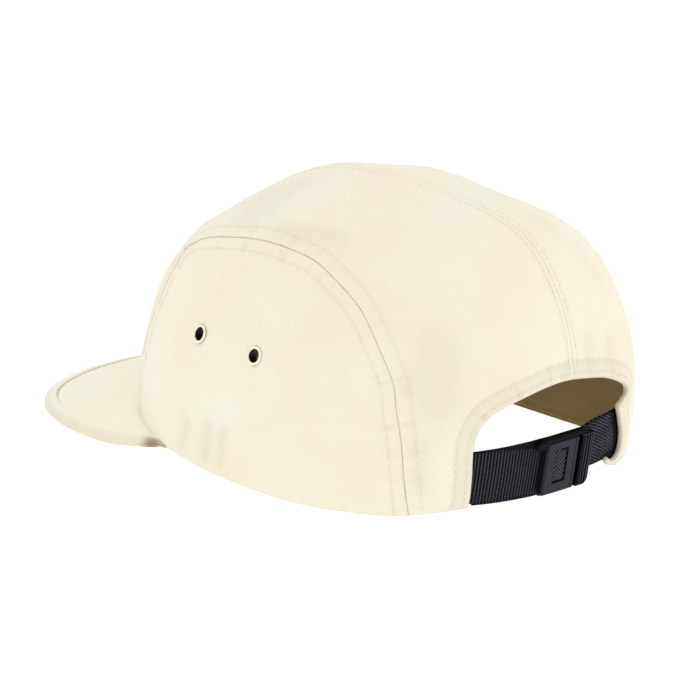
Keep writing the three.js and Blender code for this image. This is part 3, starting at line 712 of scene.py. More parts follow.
def relief(points, panel):
    """Height of a panel's face over the crown, and its painted shade in creases, grooves and puckers,
    with a darker band along the arch's hem.
    """
    total = np.zeros((2, len(points)))
    above = points[:, 2] - rim_height(points[:, 1])
    folds = fold_relief(points)
    total[0] = folds + CRUMPLE_DEPTH * waves_at(points, CRUMPLE)
    total[0] += SLACK_DEPTH * waves_at(points, SLACK) * smooth(above / 12)
    # Painted shade in the hollows of the folds and of the gathers
    total[1] = 0.08 * np.clip(-folds, 0, 1)
    gathered = gathers(points) * smooth(above / 4)
    total += np.stack([-GATHER_DEPTH * gathered, 0.035 * gathered])
    inside = panel.startswith("side")
    row = ROW_INSIDE if inside else ROW_OUTSIDE
    lift = -OVERLAP / 2 if inside else OVERLAP
    for name, (seam, ahead) in SIDE_LINES.items():
        if inside and not panel.endswith(name):
            continue
        if panel != "front_panel" and panel.endswith(name):
            total += seam_relief(points, seam, row, 11, lift, dark=0.24)
        if inside or panel == "front_panel":
            total += seam_relief(points, ahead, row, 17, lift, dark=0.12)
    if not inside:
        total += seam_relief(points, front_seam, ROW_OUTSIDE, 23, pucker=PUCKER / 2, dark=0.18)
    if panel.startswith("back"):
        total += seam_relief(points, middle_seam, MIDDLE_ROW, 29, 0.0, PUCKER / 4, 0.08, 0.3)
        total += seam_relief(points, arch, ARCH_ROWS[0], 31)
        total += seam_relief(points, arch, ARCH_ROWS[1], 37, pucker=PUCKER * 0.7)
        # A darker band along the arch's hem
        total[1] += 0.09 * smooth((8 - nearest_on(points, base_points(arch))[0]) / 1.5)
    return total


def skin(uv, panel):
    """Points of a panel's outer face, and the way out of it, before its edges are rounded."""
    points = base_points(uv)
    normals = base_normals(uv)
    return points + normals * relief(points, panel)[0][:, None], normals


# Meshes

def add_object(name, data):
    thing = bpy.data.objects.new(name, data)
    bpy.context.scene.collection.objects.link(thing)
    return thing


def mesh_piece(name, points, faces, materials, indices=None, uv=None, shade=None):
    mesh = bpy.data.meshes.new(name)
    mesh.from_pydata(((np.asarray(points) + SHIFT) * MM).tolist(), [], [tuple(f) for f in faces])
    for material in materials:
        mesh.materials.append(material)
    if indices is not None:
        mesh.polygons.foreach_set("material_index", np.asarray(indices, np.int32))
    if uv is not None:
        layer = mesh.uv_layers.new(name="cloth")
        corner = np.zeros(len(mesh.loops), np.int32)
        mesh.loops.foreach_get("vertex_index", corner)
        layer.data.foreach_set("uv", np.asarray(uv, np.float32)[corner].ravel())
    # Painted shade and painted highlights, with the plastics' own tone, kept with the points
    painted_light_and_tone = mesh.attributes.new("painted_light_and_tone", "FLOAT", "POINT")
    painted_light_and_tone.data.foreach_set("value", np.zeros(len(points)) if shade is None else shade)
    mesh.polygons.foreach_set("use_smooth", np.ones(len(mesh.polygons), bool))
    mesh.validate()
    mesh.update()
    return add_object(name, mesh)


def finish_piece(piece, slot, *nodes):
    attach(piece, "root")
    if nodes:
        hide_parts(*nodes)


def slab_faces(columns, rows):
    """Quads of a block of two grids of points, outer first, with its four sides."""
    count = columns * rows
    faces = []
    for i in range(columns - 1):
        for j in range(rows - 1):
            a, b = i * rows + j, (i + 1) * rows + j
            faces.append((a, b, b + 1, a + 1))
            faces.append((count + a, count + a + 1, count + b + 1, count + b))
    walk = [i * rows for i in range(columns)]
    walk += [(columns - 1) * rows + j for j in range(1, rows)]
    walk += [i * rows + rows - 1 for i in range(columns - 2, -1, -1)]
    walk += [j for j in range(rows - 2, 0, -1)]
    for k, a in enumerate(walk):
        b = walk[(k + 1) % len(walk)]
        faces.append((b, a, count + a, count + b))
    return faces


def inside_loop(points, loop):
    """Which points lie inside a closed loop, by counting the edges to their right."""
    inside = np.zeros(len(points), bool)
    before = np.roll(loop, 1, 0)
    for first in range(0, len(points), 20000):
        some = points[first : first + 20000]
        x, y = some[:, :1], some[:, 1:]
        crosses = (loop[None, :, 1] > y) != (before[None, :, 1] > y)
        rise = before[:, 1] - loop[:, 1]
        rise = np.where(np.abs(rise) < 1e-12, 1e-12, rise)
        at = (before[:, 0] - loop[:, 0]) * (y - loop[None, :, 1]) / rise + loop[:, 0]
        inside[first : first + 20000] = (crosses & (x < at)).sum(1) % 2 == 1
    return inside


def triangulated(loops, free):
    """Triangles between an outer loop, holes and free points, all on the chart."""
    points = np.vstack(loops + [free])
    links = []
    start = 0
    for loop in loops:
        count = len(loop)
        links += [(start + k, start + (k + 1) % count) for k in range(count)]
        start += count
    verts = [Vector((float(x), float(y))) for x, y in points]
    found = geometry.delaunay_2d_cdt(verts, links, [], 0, 1e-5, False)
    flat = np.array([(v.x, v.y) for v in found[0]])
    faces = np.array([f for f in found[2] if len(f) == 3])
    centres = flat[faces].mean(1)
    keep = inside_loop(centres, loops[0])
    for hole in loops[1:]:
        keep &= ~inside_loop(centres, hole)
    faces = faces[keep]
    a, b, c = flat[faces[:, 0]], flat[faces[:, 1]], flat[faces[:, 2]]
    area = (b[:, 0] - a[:, 0]) * (c[:, 1] - a[:, 1]) - (b[:, 1] - a[:, 1]) * (c[:, 0] - a[:, 0])
    faces[area < 0] = faces[area < 0][:, ::-1]
    faces = faces[np.abs(area) > 1e-9]
    used = np.unique(faces)
    place = np.full(len(flat), -1)
    place[used] = np.arange(len(used))
    return flat[used], place[faces]


def border_edges(faces):
    """Directed edges that only one triangle has."""
    edges = np.vstack([faces[:, [0, 1]], faces[:, [1, 2]], faces[:, [2, 0]]])
    known = set(map(tuple, edges.tolist()))
    return [(a, b) for a, b in edges.tolist() if (b, a) not in known]


LATTICE = 1.55
SEAM_RINGS = (0.05, 0.16, 0.32, 0.52, 1.0)
HEM_RINGS = (0.1, 0.3, 0.62, 1.02, 1.6)


def lattice_points():
    reach = 2 * CHART
    rows = np.arange(-reach, reach, LATTICE * math.sqrt(0.75))
    columns = np.arange(-reach, reach, LATTICE)
    x, y = np.meshgrid(columns, rows)
    x = x + (np.arange(len(rows)) % 2)[:, None] * LATTICE / 2
    grid = np.stack([x.ravel(), y.ravel()], -1)
    return grid[np.hypot(grid[:, 0], grid[:, 1]) < reach]


GRID = lattice_points()


def eyelet_frames(side):
    """By name: chart point, place, and the ways across, up and out of each eyelet of a side."""
    frames = {}
    for name, (turn, rise) in EYELETS.items():
        turn = turn if side == "left" else 180 - turn
        climb = climb_at_rise(np.array([turn]), np.array([rise]))
        uv = surface_to_chart(np.array([turn]), climb)
        point, out = skin(uv, f"side_panel_{side}")
        across = unit(np.cross([0.0, 0.0, 1.0], out[0]))
        up = np.cross(out[0], across)
        frames[f"eyelet_{side}_{name}"] = (uv[0], point[0], across, up, out[0])
    return frames


def hole_loop(uv, across, up):
    radius = EYELET_BARREL / 2 + GAP
    angles = np.linspace(0, 2 * np.pi, 33)[:-1]
    offset = radius * (np.cos(angles)[:, None] * across + np.sin(angles)[:, None] * up)
    du, dv = base_slopes(uv[None])
    slopes = np.stack([du[0], dv[0]], -1)
    return uv + offset @ np.linalg.pinv(slopes).T


def cloth_uv(uv):
    """Chart points spread so that the weave has the same size at the rim as on top."""
    radius = np.maximum(np.hypot(uv[:, 0], uv[:, 1]), 1e-9)
    true = 4 * CHART * np.arctan(radius / (2 * CHART)) / 2
    return uv * (true / radius)[:, None] * UV_PER_MM


def build_panel(name, materials):
    edges = PANELS[name]
    outer = np.vstack([line[:-1] for _, line in edges])
    holes = []
    if name.startswith("side"):
        for uv, _, across, up, _ in eyelet_frames(name.split("_")[-1]).values():
            holes.append(hole_loop(uv, across, up))
    border = base_points(np.vstack([outer, outer[:1]]))
    free = []
    for kind, line in edges:
        for ring in SEAM_RINGS if kind == SEAM else HEM_RINGS:
            row = beside(line, ring)
            row = row[inside_loop(row, outer)]
            row = row[nearest_on(base_points(row), border)[0] > 0.85 * ring]
            free.append(row)
    for row, _ in STITCH_ROWS[name]:
        for offset in (-0.6, 0.0, 0.6):
            line = beside(row, offset) if offset else row
            line = line[inside_loop(line, outer)]
            free.append(line[nearest_on(base_points(line), border)[0] > 1.7])
    placed = np.vstack(free)
    grid = GRID[inside_loop(GRID, outer)]
    on_crown = base_points(grid)
    far = nearest_on(on_crown, border)[0] > 1.5
    for row, _ in STITCH_ROWS[name]:
        far &= nearest_on(on_crown, base_points(row))[0] > 1.0
    for hole in holes:
        loop = base_points(np.vstack([hole, hole[:1]]))
        far &= nearest_on(on_crown, loop)[0] > 0.5
        far &= ~inside_loop(grid, hole)
        placed = placed[~inside_loop(placed, hole)]
    flat, faces = triangulated([outer] + holes, np.vstack([placed, grid[far]]))

    points = base_points(flat)
    normals = base_normals(flat)
    lift, shade = relief(points, name)
    inner_lift = fold_relief(points) - CLOTH
    drop = np.zeros(len(flat))
    rise = np.zeros(len(flat))
    hem_distance = np.full(len(flat), 100.0)
    for kind, line in edges:
        distance = nearest_on(points, base_points(line))[0]
        if kind == SEAM:
            drop = np.maximum(drop, rounded_off(distance, SEAM_ROUND))
        else:
            hem_distance = np.minimum(hem_distance, distance)
            drop = np.maximum(drop, rounded_off(distance, HEM_ROUND))
            rise = np.maximum(rise, rounded_off(distance, HEM_ROUND))
            lift = lift * smooth(distance / 3.0)
    outer_face = points + normals * (lift - drop)[:, None]
    inner_face = points + normals * (inner_lift + rise)[:, None]
    count = len(flat)
    triangles = faces.tolist() + (faces[:, ::-1] + count).tolist()
    walls = [(b, a, a + count, b + count) for a, b in border_edges(faces)]
    # The inside faces, away from the turned-in hems, take the brown of painted shade
    turned_in = (hem_distance < HEM_TURNED_IN)[faces].all(1)
    indices = [0] * len(faces) + np.where(turned_in, 0, 1).tolist() + [0] * len(walls)
    uv = cloth_uv(np.vstack([flat, flat]))
    every = np.vstack([outer_face, inner_face])
    # Painted shade on the hems' rounded edges, outside and in
    edge_shade = HEM_SHADE * smooth(1 - hem_distance / 0.9)
    shade = np.clip(np.concatenate([shade + edge_shade, edge_shade]), 0, 1)
    return mesh_piece(name + "_cloth", every, triangles + walls, materials, indices, uv, shade)


# Stitches: short grains of thread that lie along a row

STITCH_PITCH = 2.9
STITCH_LENGTH = 2.3
STITCH_WIDTH = 0.42
STITCH_SIDES = 6


def grain(start, end, out):
    """Points and faces of one stitch between two points, half sunk in the cloth."""
    along = unit(end - start)
    side = unit(np.cross(out, along))
    rings = ((0.0, 0.25), (0.14, 0.8), (0.5, 1.0), (0.86, 0.8), (1.0, 0.25))
    points = []
    for share, size in rings:
        centre = start + (end - start) * share + out * STITCH_WIDTH * (0.42 * size - 0.1)
        for k in range(STITCH_SIDES):
            angle = 2 * np.pi * k / STITCH_SIDES
            reach = side * np.cos(angle) + out * np.sin(angle)
            points.append(centre + reach * STITCH_WIDTH / 2 * size)
    faces = []
    for ring in range(len(rings) - 1):
        for k in range(STITCH_SIDES):
            a = ring * STITCH_SIDES + k
            b = ring * STITCH_SIDES + (k + 1) % STITCH_SIDES
            faces.append((a, b, b + STITCH_SIDES, a + STITCH_SIDES))
    last = (len(rings) - 1) * STITCH_SIDES
    faces.append(tuple(range(STITCH_SIDES))[::-1])
    faces.append(tuple(last + k for k in range(STITCH_SIDES)))
    return points, faces


def stitches_on(lines, name, material):
    """One piece of all the stitches along lines, each given as points, normals and how pale the
    painted shade in its needle holes is.
    """
    points, faces, uv = [], [], []
    for line, normals, pale in lines:
        runs = run_along(line)
        count = int(runs[-1] / STITCH_PITCH)
        for k in range(count):
            middle = (k + 0.5) * runs[-1] / count
            at = np.array([middle - STITCH_LENGTH / 2, middle + STITCH_LENGTH / 2])
            here = np.stack([np.interp(at, runs, line[:, i]) for i in range(3)], -1)
            out = unit(np.array([np.interp(middle, runs, normals[:, i]) for i in range(3)]))
            more, quads = grain(here[0], here[1], out)
            faces += [tuple(len(points) + i for i in quad) for quad in quads]
            # How pale the painted shade in this stitch's needle holes is
            hole_paleness = rng.uniform(pale, 1)
            uv += [(i // STITCH_SIDES / 4, hole_paleness) for i in range(len(more))]
            points += more
    return mesh_piece(name, points, faces, [material], uv=uv)


# Peak

def rim_front_y(x):
    share = np.minimum(np.abs(x) / RIM_HALF_WIDTH, 1)
    return -RIM_FRONT * (1 - share**RIM_SQUARENESS) ** (1 / RIM_SQUARENESS)


PEAK_HEEL = float(rim_front_y(PEAK_HALF_WIDTH))
PEAK_COLUMNS = 220
PEAK_ROWS = 72


def peak_row_distance(x):
    """The row of stitches runs further from the edge along the front."""
    return PEAK_ROW + PEAK_ROW_WIDENS * smooth((40 - x) / 20)


def peak_edge(column):
    angle = np.pi * (column - 0.5)
    forward = np.maximum(np.cos(angle), 0) ** (2 / PEAK_FULLNESS)
    x = -PEAK_HALF_WIDTH * signed_power(np.sin(angle), 2 / PEAK_SQUARENESS)
    return x, PEAK_HEEL - (RIM_FRONT + PEAK_DEPTH + PEAK_HEEL) * forward, forward


def peak_middle(x, y, edge_y, forward):
    """Height of the board's middle, between the rim and the peak's edge."""
    rim = rim_front_y(x)
    out = np.clip((rim - y) / np.maximum(rim - edge_y, GAP), 0, 1)
    bow = 1 - (x / PEAK_HALF_WIDTH) ** 2
    seat = rim_height(rim) + PEAK_SEAT
    lip = PEAK_THICKNESS / 2 + PEAK_ARCH * bow
    low = seat + (lip - seat) * smooth(forward / 0.35)
    return seat + (low - seat) * out + PEAK_SWELL * np.sin(np.pi * out) * bow


def peak_outline(count=600):
    x, y, _ = peak_edge(np.linspace(0, 1, count))
    return np.stack([x, y, 0 * x], -1)


def peak_profile(distance, inner, row, deep):
    """Half thickness by distance from the edge and from the crown."""
    half = PEAK_THICKNESS / 2
    round_edge = half - rounded_off(distance, half)
    puff = 0.45 * np.sin(np.pi * np.clip(distance / row, 0, 1)) * smooth(distance / 1.5)
    groove = -0.5 * deep * bell(distance - row, 0.7)
    tuck = -0.8 * bell(inner, 1.2)
    return round_edge + puff + groove + tuck


def peak_shade(x, y, distance, row, deep):
    """Painted shade in the row's groove, along the edge, and in the tucks at the heels."""
    line_width = 0.42 + 0.4 * smooth((42 - x) / 30)
    shade = 1.1 * (deep - 0.1) * bell(distance - row, line_width)
    shade += 0.22 * smooth(1 - distance / 3.5)
    heel = np.hypot(np.abs(x) - PEAK_HALF_WIDTH, (y - PEAK_HEEL + 8) / 1.4)
    shade += 0.85 * smooth(1 - heel / 6.5) * smooth((3.6 - distance) / 3)
    return np.clip(shade, 0, 1)


def build_peak(material):
    column = np.linspace(0.004, 0.996, PEAK_COLUMNS)
    share = np.linspace(0, 1, PEAK_ROWS)
    share = 1 - (1 - share) ** 1.7
    x, edge_y, forward = (v[:, None] for v in peak_edge(column))
    start = rim_front_y(x) + 1.0
    y = start + (edge_y - start) * share[None, :]
    x = np.broadcast_to(x, y.shape)
    height = peak_middle(x, y, np.broadcast_to(edge_y, y.shape), np.broadcast_to(forward, y.shape))
    plan = np.stack([x.ravel(), y.ravel(), 0 * y.ravel()], -1)
    distance, run = nearest_on(plan, peak_outline())
    across = np.linspace(-78, 78, 400)
    rim = np.stack([across, rim_front_y(across), 0 * across], -1)
    inner = nearest_on(plan, rim)[0]
    inner = np.where(plan[:, 1] > rim_front_y(plan[:, 0]), 0, inner)
    row = peak_row_distance(plan[:, 0])
    deep = 0.1 + 0.9 * smooth((58 - plan[:, 0]) / 14)
    half = peak_profile(distance, inner, row, deep)
    shade = np.tile(peak_shade(plan[:, 0], plan[:, 1], distance, row, deep), 2)
    waves = 0.1 * waves_at(plan, SLACK)
    waves += 0.07 * ripples(run, (5.2, 7.7, 12.3), 41) * np.exp(-distance / 6)
    middle = height.ravel()
    top = np.stack([plan[:, 0], plan[:, 1], middle + half + waves * smooth(distance / 2)], -1)
    bottom = np.stack([plan[:, 0], plan[:, 1], middle - half], -1)
    faces = [(a, d, c, b) for a, b, c, d in slab_faces(PEAK_COLUMNS, PEAK_ROWS)]
    uv = np.vstack([plan[:, :2], plan[:, :2]]) * UV_PER_MM
    return mesh_piece("peak_cloth", np.vstack([top, bottom]), faces, [material], uv=uv, shade=shade)


def peak_row():
    """The peak's row of stitches, a step inside its edge, with its normals."""
    x, y, _ = peak_edge(np.linspace(0.02, 0.98, 500))
    line = np.stack([x, y], -1)
    ahead = unit(np.gradient(line, axis=0))
    inward = np.stack([ahead[:, 1], -ahead[:, 0]], -1)
    line = line + peak_row_distance(line[:, :1]) * inward
    line = line[line[:, 1] < rim_front_y(line[:, 0]) - 1.0]
    sine = signed_power(-line[:, 0] / PEAK_HALF_WIDTH, PEAK_SQUARENESS / 2)
    at = np.clip(np.arcsin(np.clip(sine, -1, 1)) / np.pi, -0.5, 0.5)
    _, edge_y, forward = peak_edge(at + 0.5)
    height = peak_middle(line[:, 0], line[:, 1], edge_y, forward)
    height = height + PEAK_THICKNESS / 2 - 0.34
    points = np.stack([line[:, 0], line[:, 1], height], -1)
    normals = np.broadcast_to([0.0, 0.0, 1.0], points.shape)
    return points, np.array(normals)


# Bands inside the crown: the sweatband and the two lengths of webbing

def wall_normals(turn, climb):
    around = crown(turn + 0.5, climb) - crown(turn - 0.5, climb)
    above = crown(turn, np.minimum(climb + 0.01, 1)) - crown(turn, np.maximum(climb - 0.01, 0))
    return np.cross(around, above)


def wall_points(turn, height, depth):
    """Points at a depth under the crown's outer face, which may be under the rim."""
    turn = np.asarray(turn, float)
    rim = crown(turn, 0.0)
    climb = climb_at_height(turn, height)
    low = height <= rim[:, 2]
    climb = np.where(low, 0.0, climb)
    normals = wall_normals(turn, climb)
    normals[low, 2] = 0
    normals = unit(normals)
    points = crown(turn, climb)
    lift = np.where(low, 0.0, fold_relief(points))
    points = points + normals * (lift - depth)[:, None]
    points[low, 2] = height[low]
    return points, normals


def back_turn(x):
    share = np.clip(np.abs(x) / RIM_HALF_WIDTH, 0, 1)
    turn = np.degrees(np.arccos(share ** (RIM_SQUARENESS / 2)))
    return np.where(x < 0, 180 - turn, turn)


WEBBING_STEP = 0.17
WEBBING_ROWS = 78
WEBBING_RUN_ROW = 20
RIB_PITCH = 1.37
RIB_DEPTH = 0.24

# The right tab's edge, which shades the webbing that runs in under it
_edge_points = base_points(arch)
TAB_EDGE = _edge_points[
    (_edge_points[:, 0] < -29.4) & (_edge_points[:, 2] > 6.2) & (_edge_points[:, 2] < 29.5)
]


def webbing(name, x_from, x_to, strap, relief_at, material):
    """A length of webbing from one X to another, as seen from behind, from left to right."""
    columns = int(abs(x_to - x_from) / WEBBING_STEP)
    across = np.linspace(x_from, x_to, columns)
    at = across[:, None]
    share = np.linspace(0, 1, WEBBING_ROWS)
    narrowing = STRAP_NARROWING * np.clip((at - NARROWING_FROM) / NARROWING_WIDTH, 0, 1)
    height = strap["bottom"] + strap["height"] * share + narrowing * (0.55 - share)
    height -= strap["dip"] * bell(x_from - at, STRAP_DIP_WIDTH) * share
    sag = strap["sag"] + strap["tab_sag"] * smooth((TAB_SAG_FROM - at) / TAB_SAG_WIDTH)
    height -= sag * (1 - share)
    turn = np.repeat(back_turn(across), WEBBING_ROWS)
    outer, normals = wall_points(turn, height.ravel(), UNDER_CLOTH)
    runs = run_along(outer.reshape(columns, -1, 3)[:, WEBBING_RUN_ROW])
    run = np.repeat(runs, WEBBING_ROWS)
    up = np.tile(strap["height"] * share, columns)
    edge_distance = np.minimum(up, strap["height"] - up)
    lift, shade = relief_at(run, up, edge_distance)
    shade = np.maximum(shade, smooth((4.3 - nearest_on(outer, TAB_EDGE)[0]) / 0.8))
    lift = lift - rounded_off(edge_distance, STRAP_THICKNESS / 2)
    sunk = STRAP_THICKNESS - rounded_off(edge_distance, STRAP_THICKNESS / 2)
    inner = outer - normals * sunk[:, None]
    outer = outer + normals * lift[:, None]
    uv = np.stack([run, up], -1) * UV_PER_MM
    faces = slab_faces(columns, WEBBING_ROWS)
    return mesh_piece(
        name, np.vstack([outer, inner]), faces, [material], uv=np.vstack([uv, uv]),
        shade=np.tile(shade, 2),
    )


def ribbed(run, up, edge_distance):
    """Height and shade of ribs between selvedges; the upper one widens towards the buckle."""
    selvedge = np.where(up > STRAP_LEFT["height"] / 2, 0.6 + 2.4 * smooth((run - 14) / 28), 0.4)
    body = smooth((edge_distance - selvedge) / 0.5)
    ribs = RIB_DEPTH * (np.abs(np.sin(np.pi * run / RIB_PITCH)) ** 0.7 - 1)
    yarn = 0.03 * np.sin(2 * np.pi * up / 0.62 + np.pi * np.floor(run / RIB_PITCH))
    fine = 0.06 * (np.abs(np.sin(2 * np.pi * run / RIB_PITCH)) - 1)
    return (ribs + yarn) * body + fine * (1 - body), 0.75 * (1 - body)


def meshed(run, up, edge_distance):
    """Height and shade of a loose weave of short yarns."""
    body = smooth((edge_distance - 0.8) / 0.6)
    knots = np.sin(np.pi * run / 1.2) * np.sin(np.pi * up / 0.55)
    return 0.07 * (knots - 1) * body - 0.04, 0.5 * (1 - body)


def build_sweatband(material):
    end = STRAP_END + 4 * GAP
    first = float(back_turn(np.array(end))) - 4
    last = float(back_turn(np.array(-end))) - 356
    turns = np.linspace(first, last, 480)
    rows = 26
    share = np.linspace(0, 1, rows)
    turn = np.repeat(turns, rows)
    profile = run_along(crown(turns[:, None], CLIMBS[None, :]))[:, -1]
    length = np.repeat(profile, rows)
    run = SWEATBAND_INSET + SWEATBAND_HEIGHT * np.tile(share, len(turns))
    climb = climb_at_rise(turn, run / length)
    points = crown(turn, climb)
    normals = unit(wall_normals(turn, climb))
    lift = fold_relief(points)
    edge_distance = np.tile(np.minimum(share, 1 - share) * SWEATBAND_HEIGHT, len(turns))
    trim = rounded_off(edge_distance, SWEATBAND_THICKNESS / 2)
    seam = 0.25 * bell(edge_distance - 3.0, 0.5)
    outer = points + normals * (lift - UNDER_CLOTH - 0.1 - trim)[:, None]
    inner = points + normals * (lift - UNDER_CLOTH - SWEATBAND_THICKNESS + trim + seam)[:, None]
    flat = np.stack([np.repeat(np.arange(len(turns)) * 1.05, rows), run], -1) * UV_PER_MM
    faces = [tuple(reversed(f)) for f in slab_faces(len(turns), rows)]
    return mesh_piece(
        "sweatband_tape", np.vstack([outer, inner]), faces, [material], uv=np.vstack([flat, flat])
    )


# Buckle: its axes run right, up and out as seen from behind

def buckle_axes():
    turn = back_turn(np.array([BUCKLE_OFFSET]))
    bottom = np.array([STRAP_LEFT["bottom"]])
    height = STRAP_LEFT["height"]
    low = wall_points(turn, bottom, UNDER_CLOTH)[0][0]
    high = wall_points(turn, bottom + height, UNDER_CLOTH)[0][0]
    up = high - low
    up[0] = 0
    up = unit(up)
    right = np.array([-1.0, 0.0, 0.0])
    out = np.cross(right, up)
    seat = wall_points(turn, bottom + height / 2, UNDER_CLOTH)[0][0]
    return seat + up * BUCKLE_RISE + out * 2 * GAP, right, up, out


def plate(left, right, bottom, top, face, tone_and_light, steps, rounding):
    """A moulded plate: a grid over its front whose depth face gives, and whose tone and painted light
    run 0 to 1.
    """
    origin, rightward, up, out = buckle_axes()
    columns, rows = steps
    share = np.linspace(0, 1, columns)
    v = np.linspace(bottom, top, rows)
    left_at, right_at = left(v), right(v)
    x = (left_at[None, :] + share[:, None] * (right_at - left_at)[None, :]).ravel()
    y = np.broadcast_to(v[None, :], (columns, rows)).ravel()
    edge_distance = np.minimum.reduce(
        [x - np.tile(left_at, columns), np.tile(right_at, columns) - x, y - bottom, top - y]
    )
    z = face(x, y) - rounded_off(edge_distance, rounding)
    rear = origin + x[:, None] * rightward + y[:, None] * up
    front = rear + z[:, None] * out
    tones_and_light = np.tile(tone_and_light(x, y), 2)
    return np.vstack([front, rear]), slab_faces(columns, rows), tones_and_light


def joined(parts):
    points, faces = [], []
    for more, quads, _ in parts:
        faces += [tuple(len(points) + i for i in quad) for quad in quads]
        points += list(more)
    return np.array(points), faces, np.concatenate([tones_and_light for _, _, tones_and_light in parts])


WINDOW_LEFT = -BUCKLE_WIDTH / 2 + BUCKLE_EDGE
WINDOW_RIGHT = BUCKLE_WIDTH / 2 - BUCKLE_BAR
WINDOW_BOTTOM = -BUCKLE_HEIGHT / 2 + BUCKLE_SILL
WINDOW_TOP = BUCKLE_HEIGHT / 2 - BUCKLE_RAIL
RAIL_MIDDLE = (WINDOW_TOP + BUCKLE_HEIGHT / 2) / 2
KNOB_MIDDLE = RAIL_MIDDLE - KNOB_DROP
PLAIN_TONE = 0.35


def constant(value):
    return lambda v, *_: np.full(len(v), float(value))


def bar_right(v):
    low = np.clip(1 - (v + BUCKLE_HEIGHT / 2) / BUCKLE_CORNER, 0, 1)
    return BUCKLE_WIDTH / 2 - BUCKLE_CORNER * (1 - np.sqrt(1 - low**2))


def bar_ribs(x, y):
    """The bar's ribs, 1 on their crests, inside a plain rim."""
    inside = smooth((x - WINDOW_RIGHT - 1.2) / 0.25) * smooth((BUCKLE_WIDTH / 2 - 0.9 - x) / 0.25)
    inside = inside * smooth((WINDOW_TOP - 0.8 - y) / 0.3)
    inside = inside * smooth((y + BUCKLE_HEIGHT / 2 - 0.8) / 0.3)
    return inside, 0.5 + 0.5 * np.cos(2 * np.pi * (x - WINDOW_RIGHT - 2.1) / BAR_RIB)


def bar_face(x, y):
    inside, ribs = bar_ribs(x, y)
    return BUCKLE_THICKNESS - 0.5 * inside * (1 - ribs)


# The black bar, with painted highlights on the ribs' crests and along its rim
def bar_tone_and_highlights(x, y):
    inside, ribs = bar_ribs(x, y)
    rim = np.maximum(bell(x - BUCKLE_WIDTH / 2 + 0.4, 0.22), bell(y - WINDOW_TOP + 0.2, 0.2))
    return 1 - np.maximum(0.75 * inside * ribs**3, 0.7 * rim * (y < WINDOW_TOP))


def rail_left(v):
    share = np.clip((v - RAIL_MIDDLE) / (BUCKLE_RAIL / 2), -1, 1)
    return -BUCKLE_WIDTH / 2 - HOOK_REACH + BUCKLE_RAIL / 2 * (1 - np.sqrt(1 - share**2))


def rail_right(v):
    """The rail runs out over the bar in a low tail."""
    share = np.clip((v - WINDOW_TOP) / BUCKLE_RAIL, 0, 1)
    return WINDOW_RIGHT + 0.4 + RAIL_TAIL * (1 - share) ** 1.5


def knob_side(sign):
    """The knob's round left side, with a sign of -1, or its right side, with 1."""
    def side(v):
        share = (v - KNOB_MIDDLE) / KNOB_HALF_HEIGHT
        half_width = KNOB_HALF_WIDTH * np.sqrt(np.maximum(1 - share**2, 0.01))
        return -BUCKLE_WIDTH / 2 - HOOK_REACH + sign * half_width

    return side


def rail_face(x, y):
    crest = 1 - ((y - RAIL_MIDDLE) / (BUCKLE_RAIL / 2 + 0.2)) ** 2
    hook = 0.5 * bell(x + BUCKLE_WIDTH / 2 + HOOK_REACH / 2, 1.5)
    return BUCKLE_THICKNESS * (0.62 + 0.3 * np.sqrt(np.clip(crest, 0, 1))) + hook * crest


def build_buckle_frame(materials):
    w, h = BUCKLE_WIDTH / 2, BUCKLE_HEIGHT / 2
    bar_left = constant(WINDOW_RIGHT)
    bar_top = WINDOW_TOP + BAR_CAP
    knob_bottom, knob_top = KNOB_MIDDLE - KNOB_HALF_HEIGHT, KNOB_MIDDLE + KNOB_HALF_HEIGHT
    parts = [
        plate(bar_left, bar_right, -h, bar_top, bar_face, bar_tone_and_highlights, (90, 110), 0.4),
        plate(rail_left, rail_right, WINDOW_TOP, h, rail_face, constant(1), (110, 22), 0.5),
        plate(
            knob_side(-1), knob_side(1), knob_bottom, knob_top, constant(BUCKLE_THICKNESS),
            constant(1), (24, 24), 0.6,
        ),
        plate(
            constant(-w), constant(WINDOW_LEFT), WINDOW_BOTTOM, WINDOW_TOP, constant(0.8),
            constant(1), (6, 30), 0.2,
        ),
        plate(
            constant(-w), bar_left, -h, WINDOW_BOTTOM, constant(1.5), constant(PLAIN_TONE),
            (50, 8), 0.2,
        ),
    ]
    points, faces, tones_and_light = joined(parts)
    dark = len(faces) - len(parts[-1][1])
    indices = [0] * dark + [1] * (len(faces) - dark)
    return mesh_piece("buckle_frame_moulding", points, faces, materials, indices, shade=tones_and_light)


LEVER_LEFT = WINDOW_LEFT + GAP
LEVER_RIGHT = LEVER_LEFT + LEVER_WIDTH
LEVER_BOTTOM = WINDOW_BOTTOM + GAP
LEVER_TOP = WINDOW_TOP - GAP


def grip_depth(x, y):
    """How far a place lies inside the grip's field."""
    sides = [x - LEVER_LEFT - GRIP_LEFT, LEVER_RIGHT - GRIP_RIGHT - x]
    return np.minimum.reduce(sides + [y - LEVER_BOTTOM - GRIP_BELOW, LEVER_TOP - GRIP_ABOVE - y])


def hatch(x, y):
    return 0.5 + 0.5 * np.sin(2 * np.pi * (y * 0.72 - x * 0.7) / HATCH_PITCH)


def lever_face(x, y):
    depth = grip_depth(x, y)
    inside = smooth((depth - 0.7) / 0.3)
    groove = 0.45 * bell(x - LEVER_RIGHT + PART_LINE, 0.18)
    swell = 0.18 * (1 - (x / BUCKLE_WIDTH * 2) ** 2)
    plain = LEVER_THICKNESS + swell - GRIP_DEPTH * smooth(depth / 0.35)
    return plain + 0.42 * hatch(x, y) * inside - groove


